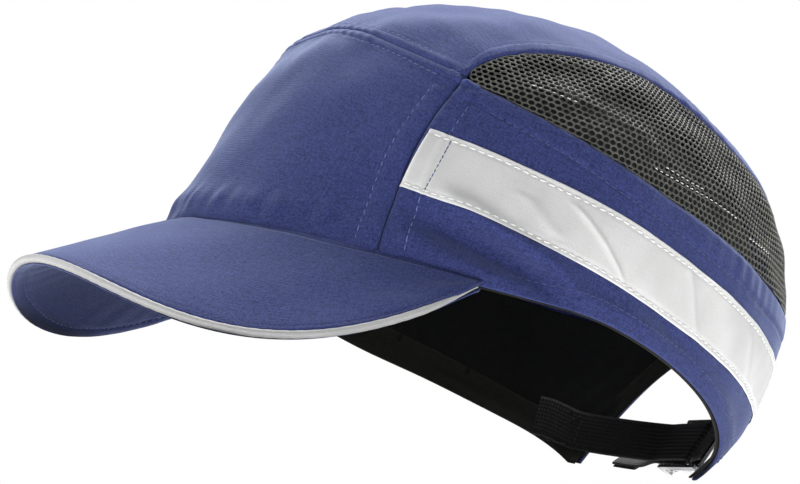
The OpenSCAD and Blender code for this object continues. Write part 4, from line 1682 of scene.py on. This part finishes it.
add_stitches(
    "strap_box_stitching", box_stitch(STRAP_RIGHT + 2, STRAP_RIGHT + 15, STRAP_R - STRAP_T / 2),
    BLACK_THREAD, length=2.0, gap=0.6, radius=0.2,
)
add_stitches(
    "anchor_box_stitching", box_stitch(35, 44.5, STRAP_R + 2.2 - STRAP_T / 2),
    BLACK_THREAD, length=2.0, gap=0.6, radius=0.2,
)


def tail_hem():
    """The turned and stitched end of the webbing."""
    tail = np.linspace(TAIL_FROM + 7, TAIL_FROM + 0.2, 12)
    p, n, up = tail_band(tail)
    lifted = fix_normals((p + n * (STRAP_T * 0.86), n, up))
    return ribbon("strap_end_fold", lifted, WEBBING_H - 0.6, STRAP_T * 0.8)


finish_piece(tail_hem(), WEBBING)

# ---- CAD pieces that stay, with softened edges and their own materials

METAL_EDGE = 0.22

for node in ("buckle_frame", "buckle_lever", "buckle_pin", "peak_board"):
    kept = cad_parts[node]
    kept.data.materials.clear()
    kept.data.materials.append(BOARD if node == "peak_board" else METAL)
    if node != "peak_board":
        soft = kept.modifiers.new("soft_edges", "BEVEL")
        soft.width = METAL_EDGE * MM
        soft.segments = 2
        soft.limit_method = "ANGLE"
        soft.angle_limit = np.radians(50)

# ---- Camera, light and floor

TARGET = Vector((0, -0.020, 0.060))
VIEW_AZIMUTH = np.radians(60.44)
VIEW_ELEVATION = np.radians(-9.43)
VIEW_ROLL = np.radians(12.46)
VIEW_DISTANCE = 0.8269
LENS = 110.26
SHIFT = (-0.0314, -0.0167)


def place_camera():
    az, el = VIEW_AZIMUTH, VIEW_ELEVATION
    back = Vector((np.sin(az) * np.cos(el), -np.cos(az) * np.cos(el), np.sin(el)))
    right = Vector((np.cos(az), np.sin(az), 0))
    up = back.cross(right)
    turned_right = np.cos(VIEW_ROLL) * right + np.sin(VIEW_ROLL) * up
    turned_up = -np.sin(VIEW_ROLL) * right + np.cos(VIEW_ROLL) * up
    data = bpy.data.cameras.new("camera")
    data.lens = LENS
    data.sensor_width = 36
    data.shift_x, data.shift_y = SHIFT
    data.clip_start = 0.01
    camera = bpy.data.objects.new("camera", data)
    turn = Matrix((turned_right, turned_up, back)).transposed().to_4x4()
    camera.matrix_world = Matrix.Translation(TARGET + VIEW_DISTANCE * back) @ turn
    bpy.context.scene.collection.objects.link(camera)
    bpy.context.scene.camera = camera


def area_light(name, place, size, power):
    data = bpy.data.lights.new(name, "AREA")
    data.shape = "DISK"
    data.size = size
    data.energy = power
    light = bpy.data.objects.new(name, data)
    light.location = place
    light.rotation_euler = (TARGET - Vector(place)).to_track_quat("-Z", "Y").to_euler()
    bpy.context.scene.collection.objects.link(light)


ROOM_LIGHT = 0.25
FLOOR_GLOW = 0.37
FLOOR_HALF = 3.0


def white_room():
    """A white surround for the camera, and a dimmer, even light for the object."""
    world = bpy.data.worlds.new("studio")
    world.use_nodes = True
    tree = world.node_tree
    tree.nodes.clear()
    out = tree.nodes.new("ShaderNodeOutputWorld")
    seen, lit = tree.nodes.new("ShaderNodeBackground"), tree.nodes.new("ShaderNodeBackground")
    seen.inputs["Color"].default_value = (1, 1, 1, 1)
    lit.inputs["Color"].default_value = (0.94, 0.96, 1.0, 1)
    lit.inputs["Strength"].default_value = ROOM_LIGHT
    choose = tree.nodes.new("ShaderNodeMixShader")
    path = tree.nodes.new("ShaderNodeLightPath")
    tree.links.new(path.outputs["Is Camera Ray"], choose.inputs[0])
    tree.links.new(lit.outputs[0], choose.inputs[1])
    tree.links.new(seen.outputs[0], choose.inputs[2])
    tree.links.new(choose.outputs[0], out.inputs["Surface"])
    bpy.context.scene.world = world


def floor():
    """A pale floor that shows only from above, because the photographer looks from below the brim."""
    corners = [(FLOOR_HALF * x, FLOOR_HALF * y, 0) for x, y in ((-1, -1), (1, -1), (1, 1), (-1, 1))]
    mesh = bpy.data.meshes.new("floor")
    mesh.from_pydata(corners, [], [(0, 1, 2, 3)])
    obj = bpy.data.objects.new("floor", mesh)
    bpy.context.scene.collection.objects.link(obj)
    shader = Shader("floor_paint")
    tone = shader.noise(shader.place(), 3, 2)
    shader.set(
        Base_Color=shader.blend(tone, (0.86, 0.86, 0.86), (0.90, 0.90, 0.90)), Roughness=0.85,
        Emission_Color=(1.0, 1.0, 1.0), Emission_Strength=FLOOR_GLOW,
    )
    clear, choose = shader.node("ShaderNodeBsdfTransparent"), shader.node("ShaderNodeMixShader")
    shader.link(shader.node("ShaderNodeNewGeometry").outputs["Backfacing"], choose.inputs[0])
    shader.link(shader.bsdf.outputs[0], choose.inputs[1])
    shader.link(clear.outputs[0], choose.inputs[2])
    shader.link(choose.outputs[0], shader.out.inputs["Surface"])
    mesh.materials.append(shader.material)


# Each light's place in metres, its diameter and its power in watts
LIGHTS = {
    "top": ((-0.20, 0.40, 1.25), 0.8, 37.0),
    "front": ((-0.75, -1.05, 0.70), 0.6, 7.0),
    "low": ((0.9, -0.75, 0.05), 0.5, 1.4),
    "rear": ((0.85, 0.75, 0.35), 0.5, 0.4),
}

place_camera()
for name, (place, size, power) in LIGHTS.items():
    area_light(name, place, size, power)
white_room()
floor()
bpy.context.scene.view_settings.view_transform = "Standard"
